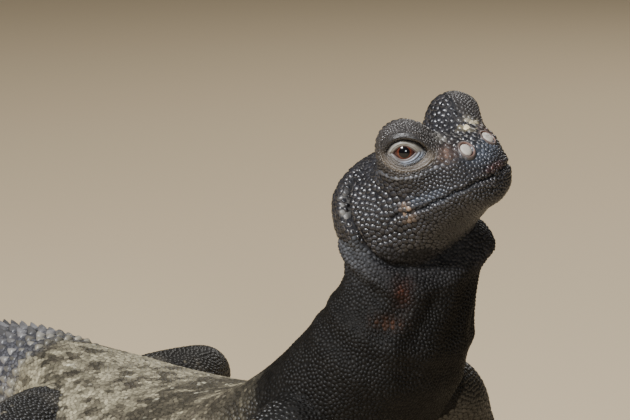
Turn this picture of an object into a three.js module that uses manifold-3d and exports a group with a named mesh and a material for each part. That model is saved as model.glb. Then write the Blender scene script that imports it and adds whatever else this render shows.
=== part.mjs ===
// A spiny-tailed desert lizard (uromastyx), life size, propped up on its straight forelegs with the
// head raised. Millimetres, +Z up. The trunk runs along +X with the snout forward, +Y is the animal's
// left, and the belly, tail and soles rest on the plane z = 0.
import * as THREE from "three";
import { mergeVertices } from "three/addons/utils/BufferGeometryUtils.js";
import Module from "manifold-3d";

const wasm = await Module();
wasm.setup();

// Driving dimensions
const GAP = 0.3; // clearance between neighbouring nodes
const TRUNK_SIDES = 32;
const TORSO_RINGS = 17;
const NECK_RINGS = 13;
const HEAD_RINGS = 36;
const LEG_SIDES = 10;
const LEG_RINGS = 3; // between two leg stations
const JOINT_TURNS = [0.5, 1.05]; // rings over a round joint, as angles from its rim

// Trunk stations from the tail's root to the nape: centre, then half width, height above, depth below
const TRUNK = [
  { at: [-16, 0, 18.5], half: [17.5, 16, 18] },
  { at: [0, 0, 18.5], half: [23, 16, 18.5] },
  { at: [25, 0, 18.5], half: [31, 15.5, 19] },
  { at: [52, 0, 20.5], half: [34, 16, 21] },
  { at: [80, 0, 27], half: [32, 16.5, 21.5] },
  { at: [104, 1, 41], half: [26.5, 16, 20] },
  { at: [123, 3.5, 60], half: [21.5, 15.5, 18] },
  { at: [131.5, 5, 77], half: [17, 14, 15] },
  { at: [134, 5, 89.5], half: [16.8, 14, 13.5] },
  { at: [135, 5.5, 100], half: [12, 10, 10.5] },
  { at: [135.5, 6, 107], half: [7.5, 7, 6.5] },
];
const NECK_START = 5.9; // where the neck leaves the torso, counted in trunk stations
const TRUNK_SQUARE = 2.25; // exponent of the trunk's rounded sections
const NECK_FOLDS = [
  { station: 6.55, push: 1.1, width: 0.16 },
  { station: 7.25, push: 1.6, width: 0.2 },
  { station: 7.95, push: 1.3, width: 0.17 },
];

// Tail stations beyond the root, out to the tip
const TAIL = [
  { at: [-42, 2.5, 17], half: [16, 15, 17] },
  { at: [-76, 9, 13.5], half: [13, 12, 13.5] },
  { at: [-110, 18, 9.4], half: [9.8, 8.2, 9.4] },
  { at: [-142, 27, 7.4], half: [7.4, 6.2, 7.4] },
  { at: [-168, 34, 5.6], half: [5, 4.4, 5.6] },
  { at: [-184, 38, 4.2], half: [2.8, 2.6, 3.6] },
];
const TAIL_SQUARE = 2.1;
const TAIL_SPLITS = [0, 7, 14, 21]; // whorls at which the three tail nodes part
const TAIL_SPINES = 12; // spines round each whorl
const TAIL_TIP = 0.1; // bare end of the tail, in stations
const WHORL_SHRINK = 0.965; // each whorl is this much shorter than the one before
// A whorl rises to its spines: places along its length, and shares of the spine's height
const WHORL = { middle: 0.5, middleRise: 0.3, crest: 0.93, valleyRise: 0.35 };
const SPINE = { height: 2.6, reach: 0.42, tipShare: 0.5, flank: 0.45, under: 0.12, underFlank: 0.3 };
const UNDERSIDE = -0.25; // sine of the angle below which the tail's spines are low

// Head: rings along its own x axis, about the height of the mouth line
const HEAD_AT = [137.5, 6, 106.5];
const HEAD_YAW = 8;
const HEAD_PITCH = 17;
const HEAD_ROLL = 13;
const HEAD_SQUARE = 2.3;
const HEAD_PROFILE = [
  { x: -23.5, half: [0.5, 0.5, 0.5], mouth: -2 },
  { x: -22.8, half: [8, 6, 6], mouth: -2 },
  { x: -20, half: [14, 9.6, 11], mouth: -2.5 },
  { x: -15, half: [16.8, 12.6, 13.8], mouth: -3.6 },
  { x: -8.5, half: [17.4, 14.3, 14.6], mouth: -4.8 },
  { x: -2, half: [16, 14.7, 12.8], mouth: -4.7 },
  { x: 4, half: [14, 14.6, 10.4], mouth: -4 },
  { x: 10.5, half: [12, 12.8, 8.3], mouth: -3 },
  { x: 16, half: [9.8, 10.4, 6.6], mouth: -2.2 },
  { x: 20, half: [6.8, 7.2, 4.8], mouth: -1.9 },
  { x: 21.8, half: [3.6, 4, 3], mouth: -1.9 },
  { x: 22.3, half: [0.5, 0.5, 0.5], mouth: -1.9 },
];
// Swellings and hollows of the head, each mirrored to both sides
const HEAD_FORMS = {
  frontalHollow: { at: [5, 0, 11], reach: [8, 3.4, 5], push: -0.8 },
  temple: { at: [-8.5, 11, 9], reach: [4.5, 4.5, 4.5], push: -0.8 },
  jowl: { at: [-12, 15.5, -6], reach: [8, 6.5, 8], push: 1.8 },
  muzzle: { at: [17.5, 7, 5], reach: [3.8, 3.2, 3.6], push: 1.3 },
  lore: { at: [12.2, 10, 5.5], reach: [2.4, 3, 3], push: -1 },
  cheekCrease: { at: [-6, 15, 2], reach: [5, 4, 2.4], push: -0.6 },
};
const ORBIT = { at: [6.3, 10, 10.6], size: [7.5, 6.2, 7.3], blend: 3 }; // the dome that holds an eye
const MOUTH = { corner: -0.5, fade: 3, depth: 1.1, lip: 0.45, frontShare: 0.4, front: [18, 20.5] };
const MOUTH_ROWS = [0, 0.075, 0.19]; // angles of the mouth line and of the lips beside it
const HEAD_ROWS_TOP = 17;
const HEAD_ROWS_BELOW = 7;

const EYE = { at: [6.4, 10.4, 10.2], radius: 4.3, lid: 0.8, lidHeight: 0.88, sides: 14 };
const EYE_OPENING = { half: 3.2, above: 1.6, below: 1.5, forward: 36, droop: 18, lift: 0.06, depth: 12 };
// Openings set on the head's own surface, by ring station and angle above the left mouth line
const NOSTRIL = { station: 8.8, angle: 50, size: [1.5, 1.5, 1.3] };
const EAR = { station: 2.05, angle: 14, size: [1.7, 2.4, 4.4] };
const OPENING_SIDES = 12;

// Legs: a path of stations from inside the trunk to the ball of the foot, and the two joint stations
// where the nodes part. Toes are [sideways angle, length] from the inner to the outer one.
const KNEE_STATION = 2;
const ANKLE_STATION = 4;
const FRONT_THICK = [[9.3, 9.3], [8.8, 8.8], [6.9, 6.9], [6.4, 6.2], [5, 4.6], [5.6, 3.4], [5.6, 2.6]];
const HIND_THICK = [[12, 12], [11.8, 11], [8.8, 8.8], [8.2, 7.8], [5.6, 5.2], [6.4, 3.8], [6.6, 2.8]];
const FRONT_FOOT = { toes: [[-42, 7.5], [-20, 10], [2, 11], [24, 10], [50, 8]], toeRadius: 1.75 };
const HIND_FOOT = { toes: [[-36, 8], [-17, 11.5], [2, 14], [21, 15], [50, 10]], toeRadius: 1.95 };
const LEGS = [
  {
    name: "front_leg_right",
    heading: -14,
    thick: FRONT_THICK,
    foot: FRONT_FOOT,
    path: [
      [119, -8, 49],
      [117, -25, 41],
      [110, -38, 31],
      [112, -42, 19],
      [116, -43, 9],
      [121, -44.5, 3.2],
      [126, -46, 2.6],
    ],
  },
  {
    name: "front_leg_left",
    heading: 14,
    thick: FRONT_THICK,
    foot: FRONT_FOOT,
    path: [
      [120, 14, 52],
      [118, 30, 45],
      [113, 41, 34],
      [116, 44, 21],
      [120, 45, 9],
      [125, 46.5, 3.2],
      [130, 48, 2.6],
    ],
  },
  {
    name: "hind_leg_right",
    heading: -28,
    thick: HIND_THICK,
    foot: HIND_FOOT,
    path: [
      [1, -5, 18],
      [12, -31, 19.5],
      [25, -52, 19],
      [15, -60, 13],
      [2, -66, 7.5],
      [6, -71, 3.6],
      [14, -75, 2.8],
    ],
  },
  {
    name: "hind_leg_left",
    heading: 42,
    thick: HIND_THICK,
    foot: HIND_FOOT,
    path: [
      [0, 5, 18],
      [-5, 27, 18.5],
      [-14, 46, 17.5],
      [-27, 53, 12.5],
      [-40, 58, 7.5],
      [-38, 63, 3.6],
      [-32, 69, 2.8],
    ],
  },
];
// A toe's profile: distance as shares of its length, then height and radius in toe radii
const TOE_SIDES = 6;
const TOE_ROOT = 0.35; // where toes leave the foot, in half widths of the foot
const TOE_PROFILE = [
  { along: -1, height: 1, radius: 1.1 },
  { along: 0.3, height: 1.5, radius: 1 },
  { along: 0.72, height: 1.05, radius: 0.92 },
  { along: 1, height: 0.95, radius: 0.75 },
];
const CLAW = { sides: 5, length: 4.6, radius: 1.05, height: 1.15, knuckle: 0.45, waist: 0.75, drop: 1.6 };

// Colours of the real animal: charcoal head and limbs, pale reticulated back, slate tail
const skinMaterial = (color) => new THREE.MeshStandardMaterial({ color, roughness: 0.62, metalness: 0 });
const MATERIALS = {
  head: skinMaterial(0x35322f),
  dark: skinMaterial(0x262422),
  back: skinMaterial(0x8a836c),
  tail: skinMaterial(0x4b4a4c),
  eye: new THREE.MeshStandardMaterial({ color: 0x54261a, roughness: 0.12, metalness: 0 }),
};

const vec = (a) => new THREE.Vector3(...a);
const UP = new THREE.Vector3(0, 0, 1);
const LEFT = new THREE.Vector3(0, 1, 0);
const AHEAD = new THREE.Vector3(1, 0, 0);
const radians = THREE.MathUtils.degToRad;
const signedPower = (value, power) => Math.sign(value) * Math.abs(value) ** power;
const floored = (point) => point.setZ(Math.max(point.z, 0));

// A smooth curve through the stations, read by station number
function through(points) {
  const curve = new THREE.CatmullRomCurve3(points.map(vec), false, "catmullrom");
  const last = points.length - 1;
  return {
    last,
    at: (station) => curve.getPoint(station / last),
    along: (station) => curve.getTangent(station / last),
  };
}

// The plane of a section: its centre, its own sideways and upward directions, and its sizes
function sectionFrame(path, sizes, station, sideways) {
  const along = path.along(station);
  const side = sideways.clone().addScaledVector(along, -sideways.dot(along)).normalize();
  const up = new THREE.Vector3().crossVectors(along, side);
  return { centre: path.at(station), side, up, along, half: sizes.at(station) };
}

function ovalPoint(frame, angle, square, grow, ahead = 0) {
  const { centre, side, up, along, half } = frame;
  const across = (half.x + grow) * signedPower(Math.cos(angle), 2 / square);
  const tall = Math.sin(angle) > 0 ? half.y : half.z;
  const high = (tall + grow) * signedPower(Math.sin(angle), 2 / square);
  return centre.clone().addScaledVector(side, across).addScaledVector(up, high).addScaledVector(along, ahead);
}

function middleOf(ring) {
  return ring.reduce((sum, p) => sum.add(p), new THREE.Vector3()).divideScalar(ring.length);
}

// One closed body from rings of points and a point at each end
function skinOver(rings, start = middleOf(rings[0]), end = middleOf(rings.at(-1))) {
  const sides = rings[0].length;
  const points = [...rings.flat(), start, end];
  const startIndex = points.length - 2;
  const endIndex = points.length - 1;
  const index = [];
  for (let i = 0; i + 1 < rings.length; i++) {
    for (let j = 0; j < sides; j++) {
      const k = (j + 1) % sides;
      const [a, b, c, d] = [i * sides + j, i * sides + k, (i + 1) * sides + j, (i + 1) * sides + k];
      index.push(a, b, d, a, d, c);
    }
  }
  const lastRing = (rings.length - 1) * sides;
  for (let j = 0; j < sides; j++) {
    const k = (j + 1) % sides;
    index.push(startIndex, k, j, endIndex, lastRing + j, lastRing + k);
  }
  const made = new THREE.BufferGeometry().setFromPoints(points).setIndex(index);
  return volumeOf(made) < 0 ? turned(made) : made;
}

function volumeOf(geometry) {
  const position = geometry.getAttribute("position");
  const index = geometry.index.array;
  const corner = [new THREE.Vector3(), new THREE.Vector3(), new THREE.Vector3()];
  let total = 0;
  for (let i = 0; i < index.length; i += 3) {
    corner.forEach((v, n) => v.fromBufferAttribute(position, index[i + n]));
    total += corner[0].dot(corner[1].clone().cross(corner[2])) / 6;
  }
  return total;
}

function turned(geometry) {
  const index = geometry.index.array;
  for (let i = 0; i < index.length; i += 3) [index[i + 1], index[i + 2]] = [index[i + 2], index[i + 1]];
  return geometry;
}

// Solids for joining and cutting
function solid(geometry) {
  const bare = geometry.index ? geometry.toNonIndexed() : geometry.clone();
  for (const name of Object.keys(bare.attributes)) if (name !== "position") bare.deleteAttribute(name);
  const merged = mergeVertices(bare, 1e-4);
  return new wasm.Manifold(new wasm.Mesh({
    numProp: 3,
    vertProperties: new Float32Array(merged.attributes.position.array),
    triVerts: new Uint32Array(merged.index.array),
  }));
}

function geometryOf(body) {
  const mesh = body.getMesh();
  return new THREE.BufferGeometry()
    .setAttribute("position", new THREE.BufferAttribute(new Float32Array(mesh.vertProperties), 3))
    .setIndex(new THREE.BufferAttribute(new Uint32Array(mesh.triVerts), 1));
}

const largest = (body) => body.decompose().sort((a, b) => b.volume() - a.volume())[0];
const join = (bodies) => bodies.reduce((whole, next) => whole.add(next));

function ball(at, size, sides) {
  const made = new THREE.SphereGeometry(1, sides, Math.round(sides * 0.65));
  return solid(made.scale(...size).translate(...at));
}

// One spine from the tail's tip to the nape, so that neighbouring nodes share their cutting planes
const BACKBONE = [...TAIL.toReversed(), ...TRUNK];
const ROOT = TAIL.length;
const NECK_END = TRUNK.length - 1;
const backbone = through(BACKBONE.map((s) => s.at));
const backboneSizes = through(BACKBONE.map((s) => s.half));
const trunkFrame = (station) => sectionFrame(backbone, backboneSizes, ROOT + station, LEFT);

function foldRise(station) {
  return NECK_FOLDS.reduce((sum, f) => sum + f.push * Math.exp(-(((station - f.station) / f.width) ** 2)), 0);
}

function trunkSolid(from, to, count, grow = 0) {
  const rings = [];
  for (let i = 0; i <= count; i++) {
    const station = from + ((to - from) * i) / count;
    const frame = trunkFrame(station);
    const rise = grow + foldRise(station);
    const ring = [];
    for (let j = 0; j < TRUNK_SIDES; j++) {
      ring.push(floored(ovalPoint(frame, (2 * Math.PI * j) / TRUNK_SIDES, TRUNK_SQUARE, rise)));
    }
    rings.push(ring);
  }
  return solid(skinOver(rings));
}

// How many stations make up a gap at this place on the backbone
function gapStations(station) {
  const sample = 0.01;
  const from = backbone.at(ROOT + station);
  return (GAP * sample) / from.distanceTo(backbone.at(ROOT + station + sample));
}

// Tail: whorls of backward spines raised in the tail's own surface, counted in stations from the root
function whorlStarts() {
  const lengths = Array.from({ length: TAIL_SPLITS.at(-1) }, (_, i) => WHORL_SHRINK ** i);
  const total = lengths.reduce((a, b) => a + b);
  const starts = [0];
  for (const length of lengths) starts.push(starts.at(-1) + (length / total) * (ROOT - 2 * TAIL_TIP));
  return starts;
}

function spineRise(angle, taper) {
  const flank = Math.abs(Math.cos(angle));
  const above = 1 - SPINE.flank + SPINE.flank * flank;
  const below = SPINE.under + SPINE.underFlank * flank;
  return SPINE.height * taper * (Math.sin(angle) > UNDERSIDE ? above : below);
}

function tailSolid(firstWhorl, endWhorl) {
  const starts = whorlStarts();
  const whorls = TAIL_SPLITS.at(-1);
  const rings = [];
  const ringAt = (station, shape = () => ({ rise: 0, back: 0 })) => {
    const frame = trunkFrame(-station);
    const sides = TAIL_SPINES * 2;
    rings.push(Array.from({ length: sides }, (_, j) => {
      const angle = (2 * Math.PI * (j + 0.5)) / sides;
      const { rise, back } = shape(angle, j % 2 === 0);
      return floored(ovalPoint(frame, angle, TAIL_SQUARE, rise, -back));
    }));
  };
  for (let w = firstWhorl; w < endWhorl; w++) {
    const trim = w === firstWhorl ? gapStations(-starts[w]) : 0;
    const length = starts[w + 1] - starts[w];
    const span = backbone.at(ROOT - starts[w]).distanceTo(backbone.at(ROOT - starts[w + 1]));
    const taper = 1 - SPINE.tipShare * (w / whorls);
    const closesNode = w === endWhorl - 1 && endWhorl < whorls;
    const reach = closesNode ? 0 : SPINE.reach * span;
    ringAt(starts[w] + trim);
    ringAt(starts[w] + length * WHORL.middle, (angle) => ({
      rise: WHORL.middleRise * spineRise(angle, taper),
      back: 0,
    }));
    ringAt(starts[w] + length * WHORL.crest, (angle, tip) => ({
      rise: (tip ? 1 : WHORL.valleyRise) * spineRise(angle, taper),
      back: tip ? reach : 0,
    }));
    if (closesNode) ringAt(starts[w + 1]);
  }
  if (endWhorl < whorls) return solid(skinOver(rings));
  ringAt(ROOT - TAIL_TIP);
  return solid(skinOver(rings, middleOf(rings[0]), backbone.at(0)));
}

// Head, in its own axes
const headPose = new THREE.Matrix4()
  .makeRotationZ(radians(HEAD_YAW))
  .multiply(new THREE.Matrix4().makeRotationY(radians(-HEAD_PITCH)))
  .multiply(new THREE.Matrix4().makeRotationX(radians(HEAD_ROLL)))
  .setPosition(...HEAD_AT);
const inHeadPose = (body) => solid(geometryOf(body).applyMatrix4(headPose));

const headCentres = through(HEAD_PROFILE.map((s) => [s.x, 0, s.mouth]));
const headSizes = through(HEAD_PROFILE.map((s) => s.half));

function headAngles() {
  const half = (count) => {
    const first = MOUTH_ROWS.at(-1);
    const step = (Math.PI - 2 * first) / (count + 1);
    const rest = Array.from({ length: count }, (_, i) => first + step * (i + 1));
    return [...MOUTH_ROWS, ...rest, ...MOUTH_ROWS.slice(1).reverse().map((a) => Math.PI - a)];
  };
  return [...half(HEAD_ROWS_TOP), ...half(HEAD_ROWS_BELOW).map((a) => a + Math.PI)];
}

function headForm(point) {
  return Object.values(HEAD_FORMS).reduce((sum, { at, reach, push }) => {
    const away = ((point.x - at[0]) / reach[0]) ** 2
      + ((Math.abs(point.y) - at[1]) / reach[1]) ** 2
      + ((point.z - at[2]) / reach[2]) ** 2;
    return sum + push * Math.exp(-away);
  }, 0);
}

// The mouth is a groove between two low lips; it fades out at its corner and is shallow at the front
function mouthRise(x, angle) {
  const fromMouth = Math.min(angle, Math.abs(angle - Math.PI), 2 * Math.PI - angle);
  const row = MOUTH_ROWS.findIndex((a) => Math.abs(a - fromMouth) < 1e-6);
  const rise = [-MOUTH.depth, MOUTH.lip][row] ?? 0;
  const open = THREE.MathUtils.smoothstep(x, MOUTH.corner - MOUTH.fade, MOUTH.corner + MOUTH.fade);
  const front = THREE.MathUtils.smoothstep(x, ...MOUTH.front);
  return rise * open * (1 - (1 - MOUTH.frontShare) * front);
}

// How far out from a ring's centre the head's own surface and the eye's dome run together
function domeReach(centre, outward, reach) {
  const close = 0.005;
  const stride = 0.8;
  let far = reach + 2 * ORBIT.size[0];
  let step = far;
  while (step > close) {
    const at = centre.clone().addScaledVector(outward, far);
    const inDome = Math.hypot(
      (at.x - ORBIT.at[0]) / ORBIT.size[0],
      (Math.abs(at.y) - ORBIT.at[1]) / ORBIT.size[1],
      (at.z - ORBIT.at[2]) / ORBIT.size[2],
    );
    const toDome = (inDome - 1) * ORBIT.size[1];
    const toHead = far - reach;
    const near = Math.max(ORBIT.blend - Math.abs(toDome - toHead), 0) / ORBIT.blend;
    step = Math.min(toDome, toHead) - (near * near * ORBIT.blend) / 4;
    far -= Math.max(step, 0) * stride;
  }
  return far;
}

// The head's surface at a ring station and an angle above its left mouth line
function headPoint(station, angle, grow = 0) {
  const centre = headCentres.at(station);
  const frame = { centre, half: headSizes.at(station), side: LEFT, up: UP, along: AHEAD };
  const point = ovalPoint(frame, angle, HEAD_SQUARE, grow);
  const outward = point.clone().sub(centre).normalize();
  const plain = point.distanceTo(centre);
  const reach = outward.z > 0 ? domeReach(centre, outward, plain) : plain;
  point.copy(centre).addScaledVector(outward, reach);
  return point.addScaledVector(outward, headForm(point) + mouthRise(point.x, angle));
}

function headSolid(grow = 0) {
  const angles = headAngles();
  const rings = [];
  for (let i = 0; i <= HEAD_RINGS; i++) {
    rings.push(angles.map((angle) => headPoint((headSizes.last * i) / HEAD_RINGS, angle, grow)));
  }
  return solid(skinOver(rings));
}

// The almond between the lids, as a prism that runs outwards from the middle of the eye
function lidOpening(side) {
  const { half, above, below, forward, droop, lift, depth } = EYE_OPENING;
  const outline = new THREE.Shape();
  outline.moveTo(-half, 0);
  outline.quadraticCurveTo(0, -2 * below, half, 0);
  outline.quadraticCurveTo(0, 2 * above, -half, 0);
  const prism = new THREE.ExtrudeGeometry(outline, { depth, bevelEnabled: false, curveSegments: 5 });
  const turn = radians(forward);
  const outward = new THREE.Vector3(Math.sin(turn), side * Math.cos(turn), lift).normalize();
  const level = new THREE.Vector3().crossVectors(UP, outward).normalize();
  const upright = new THREE.Vector3().crossVectors(outward, level);
  prism.rotateZ(radians(side * droop));
  prism.applyMatrix4(new THREE.Matrix4().makeBasis(level, upright, outward));
  return solid(prism.translate(EYE.at[0], side * EYE.at[1], EYE.at[2]));
}

function dressedHead() {
  let head = headSolid();
  for (const side of [1, -1]) {
    const eyeAt = [EYE.at[0], side * EYE.at[1], EYE.at[2]];
    const lids = EYE.radius + GAP + EYE.lid;
    const socket = EYE.radius + GAP;
    head = head.add(ball(eyeAt, [lids, lids, lids * EYE.lidHeight], EYE.sides));
    head = head.subtract(lidOpening(side));
    head = head.subtract(ball(eyeAt, [socket, socket, socket], EYE.sides));
    for (const { station, angle, size } of [NOSTRIL, EAR]) {
      const at = headPoint(station, radians(angle));
      head = head.subtract(ball([at.x, side * at.y, at.z], size, OPENING_SIDES));
    }
  }
  return largest(head);
}

// Legs: each length runs between two joint stations and ends in a round joint, which the next one meets
const towards = (turn) => new THREE.Vector3(Math.cos(turn), Math.sin(turn), 0);
const leftOf = (turn) => new THREE.Vector3(-Math.sin(turn), Math.cos(turn), 0);

function limbSolid(leg, first, last, grow = 0) {
  const path = through(leg.path.slice(first, last + 1));
  const sizes = through(leg.thick.slice(first, last + 1).map(([wide, deep]) => [wide, deep, deep]));
  const frameAt = (station) => sectionFrame(path, sizes, station, leftOf(radians(leg.heading)));
  const ringAt = (station, shrink = 1, ahead = 0) => {
    const frame = frameAt(station);
    frame.half.addScalar(grow).multiplyScalar(shrink);
    return Array.from({ length: LEG_SIDES }, (_, j) =>
      floored(ovalPoint(frame, (2 * Math.PI * j) / LEG_SIDES, 2, 0, ahead)));
  };
  const count = LEG_RINGS * path.last;
  const rings = Array.from({ length: count + 1 }, (_, i) => ringAt(i / LEG_RINGS));
  const { centre, along, half } = frameAt(path.last);
  const round = half.y + grow;
  for (const turn of JOINT_TURNS) rings.push(ringAt(path.last, Math.cos(turn), round * Math.sin(turn)));
  return solid(skinOver(rings, path.at(0), floored(centre.addScaledVector(along, round))));
}

// A round tube through points that all lie ahead in one direction, closed to a point at the last one
function taperedTube(points, radii, turn, sides) {
  const path = through(points);
  const rings = radii.map((radius, i) => {
    const sizes = { at: () => new THREE.Vector3(radius, radius, radius) };
    const frame = sectionFrame(path, sizes, i, leftOf(turn));
    return Array.from({ length: sides }, (_, j) =>
      floored(ovalPoint(frame, (2 * Math.PI * (j + 0.5)) / sides, 2, 0)));
  });
  return solid(skinOver(rings, path.at(0), path.at(path.last)));
}

function toeBodies(leg) {
  const footBall = vec(leg.path.at(-1));
  const [footHalf] = leg.thick.at(-1);
  const { toes, toeRadius } = leg.foot;
  return toes.flatMap(([spread, length]) => {
    const turn = radians(leg.heading + Math.sign(leg.heading) * spread);
    const out = (distance, height) =>
      footBall.clone().addScaledVector(towards(turn), distance).setZ(height).toArray();
    const tip = footHalf + length;
    const stops = TOE_PROFILE.map(({ along, height }) =>
      out(along < 0 ? footHalf * TOE_ROOT : footHalf + along * length, height * toeRadius));
    const end = out(tip + toeRadius / 2, toeRadius);
    const toe = taperedTube([...stops, end], TOE_PROFILE.map((s) => s.radius * toeRadius), turn, TOE_SIDES);
    const nail = CLAW.height * toeRadius;
    const claw = taperedTube(
      [
        out(tip - toeRadius, nail),
        out(tip + CLAW.length * CLAW.knuckle, nail),
        out(tip + CLAW.length, nail - CLAW.drop),
      ],
      [CLAW.radius, CLAW.radius * CLAW.waist],
      turn,
      CLAW.sides,
    );
    return [toe, claw];
  });
}

// The assembled animal
const animal = new THREE.Group();

function place(name, body, material) {
  const mesh = new THREE.Mesh(geometryOf(largest(body)), material);
  mesh.name = name;
  animal.add(mesh);
}

const neckFrom = NECK_START + gapStations(NECK_START);
const headClearance = inHeadPose(headSolid(GAP));
const trunkClearance = trunkSolid(0, NECK_END, TORSO_RINGS + NECK_RINGS, GAP);

place("head", inHeadPose(dressedHead()), MATERIALS.head);
place("neck", trunkSolid(neckFrom, NECK_END, NECK_RINGS).subtract(headClearance), MATERIALS.dark);
place("torso", trunkSolid(0, NECK_START, TORSO_RINGS), MATERIALS.back);

for (const [side, name] of [[1, "eye_left"], [-1, "eye_right"]]) {
  const eyeAt = [EYE.at[0], side * EYE.at[1], EYE.at[2]];
  place(name, inHeadPose(ball(eyeAt, Array(3).fill(EYE.radius), EYE.sides)), MATERIALS.eye);
}

["tail_base", "tail_middle", "tail_tip"].forEach((name, i) => {
  place(name, tailSolid(TAIL_SPLITS[i], TAIL_SPLITS[i + 1]), MATERIALS.tail);
});

for (const leg of LEGS) {
  const upper = limbSolid(leg, 0, KNEE_STATION);
  const lower = limbSolid(leg, KNEE_STATION, ANKLE_STATION);
  const sole = limbSolid(leg, ANKLE_STATION, leg.path.length - 1);
  const kneeClearance = limbSolid(leg, 0, KNEE_STATION, GAP);
  const ankleClearance = limbSolid(leg, KNEE_STATION, ANKLE_STATION, GAP);
  place(`${leg.name}_upper`, upper.subtract(trunkClearance), MATERIALS.dark);
  place(`${leg.name}_lower`, lower.subtract(kneeClearance), MATERIALS.dark);
  place(`${leg.name}_foot`, join([sole, ...toeBodies(leg)]).subtract(ankleClearance), MATERIALS.dark);
}

// The origin is the middle of the animal's footprint
const bounds = new THREE.Box3().setFromObject(animal);
const middle = bounds.getCenter(new THREE.Vector3());
animal.position.set(-middle.x, -middle.y, -bounds.min.z);

export default animal;
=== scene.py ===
import math

import bmesh
import bpy
import numpy as np
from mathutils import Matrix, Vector, kdtree
from mathutils.bvhtree import BVHTree


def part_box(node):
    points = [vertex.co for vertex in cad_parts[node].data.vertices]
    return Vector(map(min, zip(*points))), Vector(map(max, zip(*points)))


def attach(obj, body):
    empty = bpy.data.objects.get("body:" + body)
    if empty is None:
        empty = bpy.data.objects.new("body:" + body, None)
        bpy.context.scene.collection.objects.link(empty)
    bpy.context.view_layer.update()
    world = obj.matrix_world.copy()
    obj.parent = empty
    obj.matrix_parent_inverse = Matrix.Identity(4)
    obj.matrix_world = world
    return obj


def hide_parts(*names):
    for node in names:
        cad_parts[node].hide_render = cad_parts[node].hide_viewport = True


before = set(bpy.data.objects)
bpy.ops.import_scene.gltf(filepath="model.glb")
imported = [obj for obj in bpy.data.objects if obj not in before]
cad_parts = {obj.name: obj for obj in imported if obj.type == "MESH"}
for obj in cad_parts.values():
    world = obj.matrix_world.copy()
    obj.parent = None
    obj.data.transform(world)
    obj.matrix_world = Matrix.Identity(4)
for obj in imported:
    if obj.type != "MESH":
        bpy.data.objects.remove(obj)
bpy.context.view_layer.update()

# A life-size spiny-tailed lizard. Shapes are worked out in millimetres in the CAD source's own axes and
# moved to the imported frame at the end.
MM = 0.001
rng = np.random.default_rng(7)

# Forms shared with the solids
TRUNK = np.array([
    [-16, 0, 18.5, 17.5, 16, 18], [0, 0, 18.5, 23, 16, 18.5], [25, 0, 18.5, 31, 15.5, 19],
    [52, 0, 20.5, 34, 16, 21], [80, 0, 27, 32, 16.5, 21.5], [104, 1, 41, 26.5, 16, 20],
    [123, 3.5, 60, 21.5, 15.5, 18], [131.5, 5, 77, 17, 14, 15], [134, 5, 89.5, 16.8, 14, 13.5],
    [135, 5.5, 100, 12, 10, 10.5], [135.5, 6, 107, 7.5, 7, 6.5]], float)
TAIL = np.array([
    [-42, 2.5, 17, 16, 15, 17], [-76, 9, 13.5, 13, 12, 13.5], [-110, 18, 9.4, 9.8, 8.2, 9.4],
    [-142, 27, 7.4, 7.4, 6.2, 7.4], [-168, 34, 5.6, 5, 4.4, 5.6], [-184, 38, 4.2, 2.8, 2.6, 3.6]], float)
BACKBONE = np.vstack([TAIL[::-1], TRUNK])
ROOT = len(TAIL)
NECK_FOLDS = [(6.2, 0.5, 0.12), (6.62, 0.7, 0.12)]
WHORLS, WHORL_SHRINK, TAIL_TIP = 21, 0.965, 0.1
HEAD_AT = np.array([137.5, 6, 106.5])
HEAD_TURNS = (8, 17, 13)  # yaw, pitch, roll
HEAD_PROFILE = np.array([
    [-23.5, 0, -2, .5, .5, .5], [-22.8, 0, -2, 8, 6, 6], [-20, 0, -2.5, 14, 9.6, 11],
    [-15, 0, -3.6, 16.8, 12.6, 13.8], [-8.5, 0, -4.8, 17.4, 14.3, 14.6], [-2, 0, -4.7, 16, 14.7, 12.8],
    [4, 0, -4, 14, 14.6, 10.4], [10.5, 0, -3, 12, 12.8, 8.3], [16, 0, -2.2, 9.8, 10.4, 6.6],
    [20, 0, -1.9, 6.8, 7.2, 4.8], [21.8, 0, -1.9, 3.6, 4, 3], [22.3, 0, -1.9, .5, .5, .5]], float)
HEAD_FORMS = [
    ((5, 0, 11), (8, 3.4, 5), -0.8), ((-8.5, 11, 9), (4.5, 4.5, 4.5), -0.8),
    ((-12, 15.5, -6), (8, 6.5, 8), 1.8), ((17.5, 7, 5), (3.8, 3.2, 3.6), 1.3),
    ((12.2, 10, 5.5), (2.4, 3, 3), -1), ((-6, 15, 2), (5, 4, 2.4), -0.6)]
ORBIT_AT, ORBIT_SIZE, ORBIT_BLEND = np.array([6.3, 10, 10.6]), np.array([7.5, 6.2, 7.3]), 6.5
EYE_AT, EYE_RADIUS = np.array([6.4, -10.4, 10.2]), 4.3
LEGS = {
    "front_leg_right": (-14, [[119, -8, 49], [117, -25, 41], [110, -38, 31], [112, -42, 19],
                              [116, -43, 9], [121, -44.5, 3.2], [126, -46, 2.6]]),
    "front_leg_left": (14, [[120, 14, 52], [118, 30, 45], [113, 41, 34], [116, 44, 21],
                            [120, 45, 9], [125, 46.5, 3.2], [130, 48, 2.6]]),
    "hind_leg_right": (-28, [[1, -5, 18], [12, -31, 19.5], [25, -52, 19], [15, -60, 13],
                             [2, -66, 7.5], [6, -71, 3.6], [14, -75, 2.8]]),
    "hind_leg_left": (42, [[0, 5, 18], [-5, 27, 18.5], [-14, 46, 17.5], [-27, 53, 12.5],
                           [-40, 58, 7.5], [-38, 63, 3.6], [-32, 69, 2.8]])}
FRONT_THICK = [[9.3, 9.3], [8.8, 8.8], [6.9, 6.9], [6.4, 6.2], [5, 4.6], [5.6, 3.4], [5.6, 2.6]]
HIND_THICK = [[12, 12], [11.8, 11], [8.8, 8.8], [8.2, 7.8], [5.6, 5.2], [6.4, 3.8], [6.6, 2.8]]
FRONT_TOES = ([[-42, 7.5], [-20, 10], [2, 11], [24, 10], [50, 8]], 1.75)
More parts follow.
